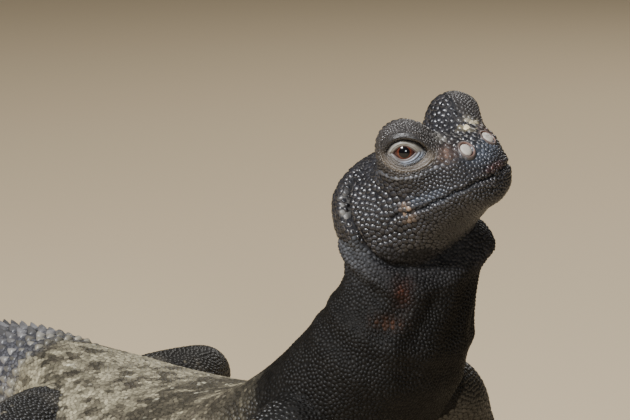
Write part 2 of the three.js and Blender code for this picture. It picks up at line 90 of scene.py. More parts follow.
HIND_TOES = ([[-36, 8], [-17, 11.5], [2, 14], [21, 15], [50, 10]], 1.95)
TOE_SHAPE = [(0.3, 1.5, 1), (0.5, 1.3, 0.86), (0.72, 1.1, 0.95), (0.87, 0.9, 0.72), (1, 0.95, 0.8)]
TRUNK_SQUARE, HEAD_SQUARE, ROUND = 2.25, 2.3, 2.0
ACROSS = np.array([0, 1.0, 0])
ON_TRUNK, ON_HEAD = 0, 5  # regions; 1 to 4 are the legs
BATCH = 20000


def through(points):
    """A smooth curve through the points, read at any number of stations."""
    p = np.asarray(points, float)
    padded = np.vstack([2 * p[0] - p[1], p, 2 * p[-1] - p[-2]])

    def at(stations):
        s = np.clip(np.atleast_1d(np.asarray(stations, float)), 0, len(p) - 1)
        i = np.minimum(s.astype(int), len(p) - 2)
        t = (s - i)[:, None]
        a, b, c, d = (padded[i + n] for n in range(4))
        m, n = (c - a) / 2, (d - b) / 2
        return (2 * b - 2 * c + m + n) * t**3 + (3 * c - 3 * b - 2 * m - n) * t**2 + m * t + b
    return at


def unit(v):
    return v / np.maximum(np.linalg.norm(v, axis=-1, keepdims=True), 1e-9)


def frames(curve, stations, sideways):
    s = np.asarray(stations, float)
    along = unit(curve(s + 1e-3)[:, :3] - curve(s - 1e-3)[:, :3])
    side = unit(sideways - along * (along @ sideways)[:, None])
    return curve(s), side, np.cross(along, side), along


def on_legs(region):
    return (region > ON_TRUNK) & (region < ON_HEAD)


def power(v, p):
    return np.sign(v) * np.abs(v) ** p


def loft(curve, stations, sideways, angles, square, rise=0.0):
    """Rings of points: the curve's columns are x, y, z, half width, height above, depth below."""
    c, side, up, _ = frames(curve, stations, sideways)
    co, si = power(np.cos(angles), 2 / square), power(np.sin(angles), 2 / square)
    rise = np.broadcast_to(rise, (len(c), len(angles)))
    across = (c[:, 3:4] + rise) * co
    high = (np.where(np.sin(angles) > 0, c[:, 4:5], c[:, 5:6]) + rise) * si
    p = c[:, None, :3] + across[..., None] * side[:, None] + high[..., None] * up[:, None]
    p[..., 2] = np.maximum(p[..., 2], 0.02)
    return p


def turn_matrix(yaw, pitch, roll):
    y, p, r = (math.radians(a) for a in (yaw, -pitch, roll))
    z = np.array([[math.cos(y), -math.sin(y), 0], [math.sin(y), math.cos(y), 0], [0, 0, 1]])
    t = np.array([[math.cos(p), 0, math.sin(p)], [0, 1, 0], [-math.sin(p), 0, math.cos(p)]])
    x = np.array([[1, 0, 0], [0, math.cos(r), -math.sin(r)], [0, math.sin(r), math.cos(r)]])
    return z @ t @ x


HEAD_TURN = turn_matrix(*HEAD_TURNS)
eye_low, eye_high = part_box("eye_right")
FRAME_SHIFT = (np.array(eye_low) + np.array(eye_high)) / 2 / MM - (HEAD_TURN @ EYE_AT + HEAD_AT)


def in_pose(local):
    return local @ HEAD_TURN.T + HEAD_AT


def in_head(points):
    return (points - HEAD_AT) @ HEAD_TURN


def to_frame(points):
    return (points + FRAME_SHIFT) * MM


def smooth(x, low, high):
    t = np.clip((x - low) / (high - low), 0, 1)
    return t * t * (3 - 2 * t)


def hill(x, at, width):
    """A smooth hill, 1 high at its middle and about a third as high one width away."""
    return np.exp(-((x - at) / width) ** 2)


def noise(p, scale, seed=0, octaves=3):
    """Soft seeded value noise between -1 and 1, the same for skin and scales."""
    total, weight = 0.0, 0.0
    p = np.asarray(p, float) / scale + seed * 17.31
    for octave in range(octaves):
        q = p * 2**octave
        cell = np.floor(q).astype(np.int64)
        f = q - cell
        f = f * f * (3 - 2 * f)
        value = 0.0
        for corner in range(8):
            o = np.array([corner & 1, corner >> 1 & 1, corner >> 2 & 1])
            c = cell + o
            h = (c[:, 0] * 374761393 + c[:, 1] * 668265263 + c[:, 2] * 2147483647 + seed * 9176) & 0x7fffffff
            h = (h ^ (h >> 13)) * 1274126177 & 0x7fffffff
            value = value + ((h & 0xffff) / 32767.5 - 1) * np.prod(np.where(o, f, 1 - f), axis=1)
        total = total + value / 2**octave
        weight += 1 / 2**octave
    return total / weight


def add_object(name, data):
    made = bpy.data.objects.new(name, data)
    bpy.context.scene.collection.objects.link(made)
    return made


# Camera: the photograph's own view, set from the near eye
AZIMUTH, ELEVATION, DISTANCE = math.radians(52), math.radians(12), 600
LENS, SENSOR = 146, 36
PICTURE_WIDE, PICTURE_HIGH = 630, 420
EYE_PIXEL = (405.5, 151)
back = np.array([math.sin(AZIMUTH) * math.cos(ELEVATION), -math.cos(AZIMUTH) * math.cos(ELEVATION),
                 math.sin(ELEVATION)])
rightward = np.array([math.cos(AZIMUTH), math.sin(AZIMUTH), 0])
upward = np.cross(back, rightward)
PER_MM = LENS / SENSOR * PICTURE_WIDE / DISTANCE
eye_centre = in_pose(EYE_AT[None])[0]
camera_at = (eye_centre + back * DISTANCE - rightward * (EYE_PIXEL[0] - PICTURE_WIDE / 2) / PER_MM
             - upward * (PICTURE_HIGH / 2 - EYE_PIXEL[1]) / PER_MM)
camera = add_object("camera", bpy.data.cameras.new("camera"))
camera.data.lens = LENS
camera.data.sensor_width = SENSOR
camera.data.clip_start = 0.01
camera.location = Vector(to_frame(camera_at))
camera.rotation_euler = Vector(back).to_track_quat("Z", "Y").to_euler()
bpy.context.scene.camera = camera


# Meshes
def mesh_object(name, points, faces):
    mesh = bpy.data.meshes.new(name)
    mesh.from_pydata([tuple(p) for p in points], [], faces)
    mesh.validate()
    mesh.shade_smooth()
    return add_object(name, mesh)


def grid_faces(rows, columns):
    """Faces between rings of points, each ring closed on itself."""
    faces = []
    for i in range(rows - 1):
        for j in range(columns):
            k = (j + 1) % columns
            faces.append((i * columns + j, i * columns + k, (i + 1) * columns + k, (i + 1) * columns + j))
    return faces


def closed_loft(rings):
    rows, columns = rings.shape[:2]
    points = np.vstack([rings.reshape(-1, 3), rings[0].mean(0), rings[-1].mean(0)])
    faces = grid_faces(rows, columns)
    first, last = rows * columns, rows * columns + 1
    for j in range(columns):
        k = (j + 1) % columns
        faces.append((first, k, j))
        faces.append((last, (rows - 1) * columns + j, (rows - 1) * columns + k))
    return points, faces


def read_mesh(mesh):
    co = np.zeros(len(mesh.vertices) * 3, np.float32)
    mesh.vertices.foreach_get("co", co)
    normal = np.zeros(len(mesh.vertices) * 3, np.float32)
    mesh.vertices.foreach_get("normal", normal)
    return co.reshape(-1, 3).astype(float), normal.reshape(-1, 3).astype(float)


def write_points(mesh, points):
    mesh.vertices.foreach_set("co", points.astype(np.float32).ravel())
    mesh.update()


def angles_of(count):
    return np.arange(count) * 2 * math.pi / count


def edit_mesh(mesh, change):
    """Opens a mesh, makes a change to it and writes it back."""
    work = bmesh.new()
    work.from_mesh(mesh)
    change(work)
    work.to_mesh(mesh)
    work.free()


def solid_lofts(name, ring_sets):
    """Lofts with closed ends as one object, and the number of points of each."""
    points, faces, counts = [], [], []
    for rings in ring_sets:
        p, f = closed_loft(rings)
        start = sum(counts)
        points.append(p)
        counts.append(len(p))
        faces += [tuple(i + start for i in face) for face in f]
    made = mesh_object(name, np.vstack(points), faces)
    edit_mesh(made.data, lambda work: bmesh.ops.recalc_face_normals(work, faces=work.faces))
    return made, counts


def mark(mesh, name, values):
    """Gives each point a number, a direction or a colour, for the materials to read."""
    values = np.asarray(values, np.float32)
    wide = 1 if values.ndim == 1 else values.shape[1]
    kind, field = {1: ("FLOAT", "value"), 3: ("FLOAT_VECTOR", "vector"), 4: ("FLOAT_COLOR", "color")}[wide]
    mesh.attributes.new(name, kind, "POINT").data.foreach_set(field, values.ravel())


def paint(mesh, colours):
    mark(mesh, "tint", np.concatenate([np.clip(colours, 0, 1), np.ones((len(colours), 1))], 1))


def ring_grid(rows, turns):
    """For rings of points, each point's row value and the direction it lies in."""
    row, turn = np.meshgrid(rows, turns, indexing="ij")
    return np.stack([row, np.cos(turn), np.sin(turn)], -1).reshape(-1, 3)


def point_tree(points):
    made = kdtree.KDTree(len(points))
    for i, p in enumerate(points):
        made.insert(p, i)
    made.balance()
    return made


def surface_tree(points, mesh):
    return BVHTree.FromPolygons([Vector(p) for p in points], [tuple(f.vertices) for f in mesh.polygons])


# Trunk and tail as one body
backbone = through(BACKBONE)
COLLAR_LOWEST, COLLAR_AT, COLLAR_SLANT = math.radians(232), 7.45, 0.65


def whorl_starts():
    lengths = WHORL_SHRINK ** np.arange(WHORLS)
    return np.concatenate([[0], np.cumsum(lengths)]) / lengths.sum() * (ROOT - 2 * TAIL_TIP)


def collar(s, angles):
    """A thick fold of skin that hangs round the back of the head and under the jowls."""
    turn = angles - COLLAR_LOWEST
    off_side = 1 - np.cos(turn)[None]
    d = s[:, None] - (COLLAR_AT + COLLAR_SLANT * off_side)
    right = np.maximum(np.sin(turn), 0)[None] ** 2 * (np.sin(angles) < 0.6)
    fold = (1.7 + 0.8 * off_side + 1.2 * right) * hill(d, 0, np.where(d < 0, 0.17 + 0.17 * right, 0.42))
    hollow = 8.5 * hill(s[:, None], 8.1, 0.8) * np.maximum(np.cos(turn - 0.15), 0) ** 1.4
    return fold - 4 * smooth(d, 0.3, 0.9) - hollow


def trunk_rings():
    stations = np.linspace(TAIL_TIP, len(BACKBONE) - 1, 620)
    angles = angles_of(128)
    s = stations - ROOT
    fold = sum(push * hill(s, at, width) for at, push, width in NECK_FOLDS)
    place = np.interp(-s, whorl_starts(), np.arange(WHORLS + 1))
    phase = place - np.floor(place)
    whorl = np.where(s < 0, 1.1 * phase * np.clip(1 - place / WHORLS * 0.5, 0, 1) - 0.2, 0)
    pleats = hill(s, 7, 0.9)[:, None] * np.sin(11 * angles + 1.7 * np.sin(4 * s)[:, None])
    rise = (fold + whorl)[:, None] + collar(s, angles) + 0.45 * pleats * smooth(-np.sin(angles), 0, 0.6)
    return loft(backbone, stations, ACROSS, angles, TRUNK_SQUARE, rise)


# Head
head_curve = through(HEAD_PROFILE)


DOME_STEPS = 70


def dome_reach(centre, outward, reach):
    """How far out the domes over the eyes lie, blended into the head, found by stepping in towards them."""
    far = reach + 2 * ORBIT_SIZE[0]
    for _ in range(DOME_STEPS):
        at = centre + outward * far[..., None]
        at = np.stack([at[..., 0], np.abs(at[..., 1]), at[..., 2]], -1)
        to_dome = (np.linalg.norm((at - ORBIT_AT) / ORBIT_SIZE, axis=-1) - 1) * ORBIT_SIZE[1]
        to_head = far - reach
        near = np.maximum(ORBIT_BLEND - np.abs(to_dome - to_head), 0) / ORBIT_BLEND
        far = far - np.maximum(np.minimum(to_dome, to_head) - near * near * ORBIT_BLEND / 4, 0) * 0.8
    return far


# Swellings that only the dressed head has: the jowl and the slack skin under the jaw
SOFT_FORMS = [
    ((-8, 9.5, -17), (9, 8, 6.5), 1.6), ((-17, 14, -9), (5, 6, 7), 1.2), ((4, 0, -13), (10, 6, 4), 0.6),
    ((19, 0, -6), (5, 6, 4), 1.5), ((15, 3.5, 9.5), (5, 5, 3.5), 1.2),
    ((1, 12.5, -4.5), (7, 5, 1.6), 0.35), ((-4, 16, -7.5), (9, 6, 1.5), -0.5)]


def head_points(stations, angles):
    c = head_curve(stations)
    co, si = power(np.cos(angles), 2 / HEAD_SQUARE), power(np.sin(angles), 2 / HEAD_SQUARE)
    p = np.zeros((len(c), len(angles), 3))
    p[..., 0] = c[:, 0:1]
    p[..., 1] = c[:, 3:4] * co
    p[..., 2] = c[:, 2:3] + np.where(np.sin(angles) > 0, c[:, 4:5], c[:, 5:6]) * si
    centre = np.repeat(c[:, None, :3], len(angles), 1)
    plain = np.linalg.norm(p - centre, axis=-1)
    outward = (p - centre) / plain[..., None]
    reach = np.where(outward[..., 2] > 0, dome_reach(centre, outward, plain), plain)
    p = centre + outward * reach[..., None]
    push = 0
    for at, size, amount in HEAD_FORMS + SOFT_FORMS:
        away = ((p[..., 0] - at[0]) / size[0]) ** 2 + ((np.abs(p[..., 1]) - at[1]) / size[1]) ** 2
        push = push + amount * np.exp(-away - ((p[..., 2] - at[2]) / size[2]) ** 2)
    return p + outward * push[..., None]


def sideways_of(turn):
    return np.array([-math.sin(turn), math.cos(turn), 0])


def tube(table, turn, count, sides):
    stations = np.linspace(0, len(table) - 1, count)
    return loft(through(table), stations, sideways_of(turn), angles_of(sides), ROUND)


def toes_and_claws(heading, ball, wide, toes, radius):
    """Lofts of the toes that spread from the end of a foot, and of their claws."""
    toe_rings, claw_rings = [], []
    for spread, length in toes:
        turn = math.radians(heading + math.copysign(1, heading) * spread)

        def stops(rows):
            return [[ball[0] + math.cos(turn) * out, ball[1] + math.sin(turn) * out, high, r, r, r]
                    for out, high, r in rows]
        tip, nail = wide + length, 1.15 * radius
        shape = [(wide + a * length, h * radius, r * radius) for a, h, r in TOE_SHAPE]
        toe = [(wide * 0.35, radius, 1.1 * radius), *shape, (tip + radius * 0.4, radius, 0.2)]
        claw = [(tip - radius, nail, 0.95), (tip + 1.2, nail + 0.25, 0.9), (tip + 3, nail - 0.2, 0.6),
                (tip + 4.5, nail - 1.6, 0.12)]
        toe_rings.append(tube(stops(toe), turn, 24, 16))
        claw_rings.append(tube(stops(claw), turn, 14, 10))
    return toe_rings, claw_rings


def limb_sizes(name):
    """Half width and half height at each stop of the limb, and its toes."""
    return (FRONT_THICK, FRONT_TOES) if name.startswith("front") else (HIND_THICK, HIND_TOES)


LIMB_TABLES = [np.array([[*p, w, d, d] for p, (w, d) in zip(path, limb_sizes(name)[0])], float)
               for name, (_, path) in LEGS.items()]
SKIN_VOXEL = 0.72


def fused(name, ring_sets):
    """Fuses overlapping lofts into one even skin."""
    made, _ = solid_lofts(name, ring_sets)
    remesh = made.modifiers.new("even", "REMESH")
    remesh.mode = "VOXEL"
    remesh.voxel_size = SKIN_VOXEL
    soft = made.modifiers.new("soft", "SMOOTH")
    soft.factor = 0.5
    soft.iterations = 3
    done = bpy.data.meshes.new_from_object(made.evaluated_get(bpy.context.evaluated_depsgraph_get()))
    made.modifiers.clear()
    made.data = done
    return made


limbs, claws = [], []
for (name, (heading, path)), table in zip(LEGS.items(), LIMB_TABLES):
    toe_rings, claw_rings = toes_and_claws(heading, path[-1], table[-1][3], *limb_sizes(name)[1])
    limbs += [tube(table, math.radians(heading), 110, 48), *toe_rings]
    claws.append((name, claw_rings))
HEAD_FINE = 200
head_rings = head_points(np.linspace(0, len(HEAD_PROFILE) - 1, HEAD_FINE), angles_of(HEAD_FINE))
head_rings = in_pose(head_rings.reshape(-1, 3)).reshape(HEAD_FINE, HEAD_FINE, 3)
skin = fused("skin", [trunk_rings(), head_rings, *limbs])

WRIST_STOP, WRIST_REACH, WRIST_PASSES = 5, 7.5, 14


def soften_wrists(work):
    """Rounds the fold where each shin or forearm meets its foot."""
    for _, path in LEGS.values():
        wrist = Vector(path[WRIST_STOP]) + Vector((0, 0, 4))
        around = [v for v in work.verts if (v.co - wrist).length < WRIST_REACH]
        for _ in range(WRIST_PASSES):
            bmesh.ops.smooth_vert(work, verts=around, factor=0.5, use_axis_x=True, use_axis_y=True,
                                  use_axis_z=True)


edit_mesh(skin.data, soften_wrists)

# Finer head: smaller faces on the head, then mouth, lids and folds as moved points
HEAD_ROWS = [Vector(row) for row in HEAD_TURN.T]
HEAD_ORIGIN = Vector(HEAD_AT)
HEAD_BACK, HEAD_LOWEST = -27, 70


def near_face(co):
    d = co - HEAD_ORIGIN
    x, y, z = (row.dot(d) for row in HEAD_ROWS)
    return HEAD_BACK < x and -24 < z < 24 and abs(y) < 26


def refine_head(work):
    edges = [e for e in work.edges if near_face(e.verts[0].co) and near_face(e.verts[1].co)]
    bmesh.ops.subdivide_edges(work, edges=edges, cuts=1, use_grid_fill=True, smooth=0.6)
    bmesh.ops.triangulate(work, faces=[f for f in work.faces if len(f.verts) > 4])


edit_mesh(skin.data, refine_head)
skin.data.shade_smooth()

# The near eye's own axes: outwards, towards the snout and up, as the lids lie
EYE_FORWARD, EYE_DROOP, EYE_LIFT = math.radians(36), math.radians(18), 0.06
OUT = unit(np.array([math.sin(EYE_FORWARD), -math.cos(EYE_FORWARD), EYE_LIFT]))
level = unit(np.cross([0, 0, 1.0], OUT))
upright = np.cross(OUT, level)
SNOUTWARD = math.cos(EYE_DROOP) * level - math.sin(EYE_DROOP) * upright
LIDWARD = math.sin(EYE_DROOP) * level + math.cos(EYE_DROOP) * upright
SLIT_HALF, SLIT_ABOVE, SLIT_BELOW = 2.8, 1.75, 1.55
LID_REACH = dict(forward=8.3, back=6.3, above=5.2, below=5.0)


def near_side(local):
    """Points of the head, those of its far side mirrored to the near one."""
    return np.where(local[:, 1:2] > 0, local * [1, -1, 1], local)


def eye_plane(local):
    """Places on the eye's own plane: towards the snout, up, and out of the head."""
    from_eye = near_side(local) - EYE_AT
    return from_eye @ SNOUTWARD, from_eye @ LIDWARD, from_eye @ OUT


def slit_radius(turn):
    """How far the lids' edge is from the middle of the slit, in any direction."""
    co, si = np.cos(turn), np.sin(turn)
    peak = np.where(si > 0, SLIT_ABOVE, SLIT_BELOW)
    low, high = np.zeros_like(co), np.full_like(co, SLIT_HALF * 1.2)
    for _ in range(24):
        r = (low + high) / 2
        inside = np.abs(r * si) < peak * (1 - np.clip(np.abs(r * co) / SLIT_HALF, 0, 1) ** 2)
        low, high = np.where(inside, r, low), np.where(inside, high, r)
    return low


def lid_radius(turn):
    co, si = np.cos(turn), np.sin(turn)
    a = np.where(co > 0, LID_REACH["forward"], LID_REACH["back"])
    b = np.where(si > 0, LID_REACH["above"], LID_REACH["below"])
    return 1 / np.sqrt((co / a) ** 2 + (si / b) ** 2)


def lid_place(local):
    """The direction round the slit, the share of the way to the orbit's rim, and the height off the plane."""
    a, b, h = eye_plane(local)
    turn = np.arctan2(b, a)
    inner = slit_radius(turn)
    return turn, (np.hypot(a, b) - inner) / (lid_radius(turn) - inner), h


BALL_EDGE = 3.9
# Folds of the lids: share of the way, depth, width, and how much is on the upper and on the lower lid
LID_FOLDS = [(0.11, 0.1, 0.03, 1, 1), (0.42, 0.42, 0.04, 1, 0), (0.22, 0.26, 0.03, 0, 1),
             (0.44, 0.3, 0.035, 0, 1), (0.62, 0.24, 0.04, 0, 1), (0.85, 0.2, 0.05, 0, 1)]


def lid_height(turn, share, skin_height):
    """The lids' height over the eye's plane, from the slit's edge (share 0) to the orbit's rim (1)."""
    inner, outer = slit_radius(turn), lid_radius(turn)
    r = inner + (outer - inner) * share
    cover = EYE_RADIUS + 0.32 + 0.5 * smooth(share, 0, 0.2)
    on_ball = np.sqrt(np.maximum(cover ** 2 - np.minimum(r, BALL_EDGE) ** 2, 0.1))
    on_ball = on_ball - np.maximum(r - BALL_EDGE, 0) * 0.75
    up = smooth(np.sin(turn), -0.35, 0.35)
    mix = smooth(share, 0.34 + 0.06 * up, 0.8 - 0.16 * up)
    height = on_ball * (1 - mix) + skin_height * mix
    for at, depth, width, above, below in LID_FOLDS:
        where = above * up + below * (1 - up)
        height = height - depth * where * hill(share, at, width)
    place = np.stack([r * np.cos(turn), r * np.sin(turn) * 2.2, share * 5], -1).reshape(-1, 3)
    wrinkle = noise(place, 1.1, 81, 2).reshape(np.shape(height))
    return height + 0.1 * wrinkle * smooth(share, 0.02, 0.12)


def dent_under_lids(local):
    turn, share, h = lid_place(local)
    aim = np.where(share < 0.06, 1.8, lid_height(turn, np.clip(share, 0, 1), h) - 0.9)
    keep = smooth(share, 0.84, 0.97)
    sunk = np.minimum(h, aim * (1 - keep) + h * keep)
    move = np.where((h > 0) & (share < 0.97), sunk - h, 0)
    return local + np.where(local[:, 1:2] > 0, OUT * [1, -1, 1], OUT) * move[:, None]


NOSTRIL_AT, EAR_AT = np.array([19.1, -4.2, 6.0]), np.array([-12.1, -17.2, 0.8])
BEAD_ROW = np.array([
    [-0.8, 0, 7.3], [2.5, 0, 6.2], [5.1, 0, 5.3], [7.6, 0, 4.7], [9.9, 0, 4.4], [11.9, 0, 4.5],
    [13.7, 0, 4.6]])
CREASE = np.array([
    [-12, 11, 8], [-12.3, 13.7, 5.2], [-12.5, 15.9, 2.9], [-11.3, 18, -0.3], [-10.1, 19.1, -4.5],
    [-9.6, 18.4, -9], [-8.2, 17.3, -12.5], [-6.5, 15.5, -15.3], [-4, 13, -17]])


def mouth_height(x):
    """The mouth line: level at the front, low along the cheek and turned up at its corner."""
    level = np.interp(x, HEAD_PROFILE[:, 0], HEAD_PROFILE[:, 2])
    return level + 0.9 * hill(x, 1, 3.5) + 0.13 * np.sin(1.3 * x)


def crease_gap(local):
    """The distance to the crease that parts the jowl from the fold behind it, on either side."""
    mirrored = np.column_stack([local[:, 0], np.abs(local[:, 1]), local[:, 2]])
    line = through(CREASE)(np.linspace(0, len(CREASE) - 1, 50))
    return np.concatenate([np.sqrt(((part[:, None] - line[None]) ** 2).sum(-1).min(1))
                           for part in np.array_split(mirrored, max(len(mirrored) // BATCH, 1))])


def carve_head(points, normals):
    local = in_head(points)
    x, y, z = local.T
    side = np.abs(y)
    on_head = smooth(x, -25, -21) * (np.abs(z) < 26) * (side < 25)
    gap = z - mouth_height(x)
    lips = -0.7 * hill(gap, 0, 0.32) + 0.25 * hill(gap, 1.25, 0.8) + 0.22 * hill(gap, -1.3, 0.8)
    push = smooth(x, -1.5, 2.5) * (side > 1) * lips
    push = push - 0.7 * (np.exp(-((x + 0.5) / 2.2) ** 2 - ((gap - 0.2) / 1.3) ** 2) * (side > 8))
    ear = (x - EAR_AT[0]) ** 2 + ((z - EAR_AT[2]) / 2.6) ** 2
    push = push - 1.7 * np.exp(-ear**2) * (side > 10)
    push = push + on_head * 0.14 * noise(local, 3.2, 3, 2)
    parting = crease_gap(local)
    push = push - 1.3 * hill(parting, 0, 0.8) + 0.5 * hill(parting, 2.4, 1.1) * (x < -11)
    snout, crown = 0.6 * smooth(x, 17, 23), 0.3 * smooth(points[:, 2] + FRAME_SHIFT[2], 119, 127)
    carved = points + normals * push[:, None] - HEAD_TURN[:, 0] * snout[:, None]
    return carved - np.array([0, 0, 1]) * crown[:, None]


points, normals = read_mesh(skin.data)
local = in_head(points)
head_part = np.where((local[:, 0] > HEAD_BACK) & (np.abs(local[:, 2]) < 26) & (points[:, 2] > HEAD_LOWEST))[0]
points[head_part] = carve_head(points[head_part], normals[head_part])
plain_tree = surface_tree(points, skin.data)
points[head_part] = in_pose(dent_under_lids(in_head(points[head_part])))
write_points(skin.data, points)

LID_SHARES, LID_TURNS = np.concatenate([[-0.1, -0.05], np.linspace(0, 1.03, 56)]), angles_of(160)
LID_TUCK, RAY_START = 3.6, 16


def lids(side, name):
    """The lids as rings about the slit, out to the rim of the orbit."""
    mirror = np.array([1, -side, 1.0])
    out = HEAD_TURN @ (OUT * mirror)
    inner, outer = slit_radius(LID_TURNS), lid_radius(LID_TURNS)
    rings = []
    for share in LID_SHARES:
        r = inner + (outer - inner) * max(share, 0) + min(share, 0) * LID_TUCK
        forward, above = (r * np.cos(LID_TURNS))[:, None], (r * np.sin(LID_TURNS))[:, None]
        base = in_pose((EYE_AT + SNOUTWARD * forward + LIDWARD * above) * mirror)
        hits = [plain_tree.ray_cast(Vector(p + out * RAY_START), Vector(-out)) for p in base]
        skin_height = np.array([RAY_START - h[3] if h[0] is not None else 0 for h in hits])
        height = lid_height(LID_TURNS, np.full(len(LID_TURNS), max(share, 0)), skin_height)
        height = height + 0.02 - 0.35 * smooth(share, 0.93, 1.03)
        if share < 0:
            height = np.sqrt(np.maximum(EYE_RADIUS**2 - r**2, 1)) - 0.05 + share
        rings.append(base + out * height[:, None])
    return mesh_object(name, np.vstack(rings), grid_faces(len(rings), len(LID_TURNS)))


def eyeball(side, name):
    """A ball whose poles lie on its line of sight, so that the pupil and iris are rings."""
    mirror = np.array([1, -side, 1.0])
    gaze_near = unit(HEAD_TURN.T @ unit(back * 4.24 - rightward * 0.45 - upward * 0.42))
    gaze = HEAD_TURN @ (gaze_near * mirror)
    across = unit(np.cross(gaze, [0, 0, 1.0]))
    over = np.cross(across, gaze)
    polar = np.concatenate([np.linspace(0.004, 0.7, 60), np.linspace(0.74, math.pi - 0.01, 30)])
    turns = angles_of(96)
    bulge = EYE_RADIUS - 0.12 + 0.28 * hill(polar, 0, 0.42)
    ring = np.cos(turns)[:, None] * across + np.sin(turns)[:, None] * over
    ball = np.sin(polar)[:, None, None] * ring + np.cos(polar)[:, None, None] * gaze
    rings = ball * bulge[:, None, None] + in_pose((EYE_AT * mirror)[None])[0]
    made = mesh_object(name, rings.reshape(-1, 3), grid_faces(len(polar), len(turns)))
    mark(made.data, "gaze", ring_grid(polar, turns))
    return made


lid_pieces = [lids(-1, "lids_right"), lids(1, "lids_left")]
eye_pieces = [eyeball(-1, "eyeball_right"), eyeball(1, "eyeball_left")]

# Where on the animal a point is
CURVES = [BACKBONE, *LIMB_TABLES]
HEADINGS = [0] + [math.radians(heading) for heading, _ in LEGS.values()]


def describe(points):
    """The region of each point (0 trunk, 1-4 legs, 5 head), its station and its angle about that region."""
    best = np.full(len(points), 9e9)
    region, station, angle = (np.zeros(len(points)) for _ in range(3))
    for r, table in enumerate(CURVES):
        curve = through(table)
        stations = np.linspace(0, len(table) - 1, 170 if r == 0 else 60)
        c, side, up, _ = frames(curve, stations, sideways_of(HEADINGS[r]))
        for begin in range(0, len(points), BATCH):
            part = slice(begin, begin + BATCH)
            d2 = ((points[part][:, None] - c[None, :, :3]) ** 2).sum(-1)
            near = d2.argmin(1)
            away = points[part] - c[near, :3]
            across, high = (away * side[near]).sum(1), (away * up[near]).sum(1)
            tall = np.where(high > 0, c[near, 4], c[near, 5])
            ratio = np.hypot(across / c[near, 3], high / tall)
            ahead = np.sqrt(np.maximum(d2[np.arange(len(near)), near] - across**2 - high**2, 0))
            ratio = np.hypot(ratio, ahead / c[near, 3])
            if r > 0:
                ratio = np.where(stations[near] < 0.7, ratio + 0.6, ratio)
            closer = ratio < best[part]
            best[part] = np.where(closer, ratio, best[part])
            region[part] = np.where(closer, r, region[part])
            station[part] = np.where(closer, stations[near] - (ROOT if r == 0 else 0), station[part])
            angle[part] = np.where(closer, np.arctan2(high / tall, across / c[near, 3]), angle[part])
    local = in_head(points)
    x = np.clip(local[:, 0], HEAD_PROFILE[0, 0], HEAD_PROFILE[-1, 0])
    width, above, below, mouth = (np.interp(x, HEAD_PROFILE[:, 0], HEAD_PROFILE[:, n]) for n in (3, 4, 5, 2))
    high = local[:, 2] - mouth
    ratio = np.hypot(local[:, 1] / width, high / np.where(high > 0, above + 4, below))
    ratio = ratio + np.abs(local[:, 0] - x) * 0.2
    on_head = (ratio < 1.09) & (points[:, 2] > 84) | (high > 10) & (local[:, 0] > -14) & (points[:, 2] > 104)
    on_head |= (ratio < best) & (points[:, 2] > 84)
    region[on_head] = ON_HEAD
    station[on_head] = local[on_head, 0]
    angle[on_head] = np.arctan2(high[on_head], local[on_head, 1])
    return region, station, angle


def lump(points, at, reach):
    return np.exp(-(((points - np.array(at)) / np.array(reach)) ** 2).sum(-1))


CHARCOAL, SLATE, BLACK_AND_PAINTED_SHADE = (0.012, 0.012, 0.0145), (0.055, 0.055, 0.062), (0.0055, 0.005, 0.0045)
STRAW, UMBER = (0.25, 0.222, 0.15), (0.036, 0.03, 0.022)
# Marks on the head, the last of them pale skin by the ear with a painted highlight laid on it: paint, place,
# reach, strength, whether on both sides, and the grain that breaks it up, as its scale, its seed and the
# levels where it begins and is full
HEAD_MARKS_AND_HIGHLIGHT = [
    ((0.06, 0.07, 0.09), (20.7, -1.5, 4.2), (2.6, 4.5, 2.6), 0.75, True, None),
    ((0.12, 0.07, 0.05), (15.6, -7.6, 6.6), (2.2, 2.2, 2), 0.6, True, None),
    ((0.05, 0.062, 0.085), (9, -12.5, -1.6), (7, 4, 1.5), 0.6, True, None),
    ((0.62, 0.53, 0.33), (15.1, 4.6, 9.7), (1.5, 2.4, 1.5), 1.4, False, (1.3, 41, 0, 0.12)),
    ((0.45, 0.42, 0.36), (14.2, -6, 10.4), (1.5, 1.2, 1), 0.25, True, None),
    ((0.30, 0.2, 0.13), (3.5, -14.3, -3.7), (1.1, 3, 1.9), 1.3, False, (0.9, 43, -0.15, 0.1)),
    # Pale skin by the ear, with a painted highlight on it.
    ((0.3, 0.29, 0.27), (-13.4, -16.6, 1.4), (1.1, 3, 2.4), 1, True, (1.2, 47, -0.1, 0.2))]


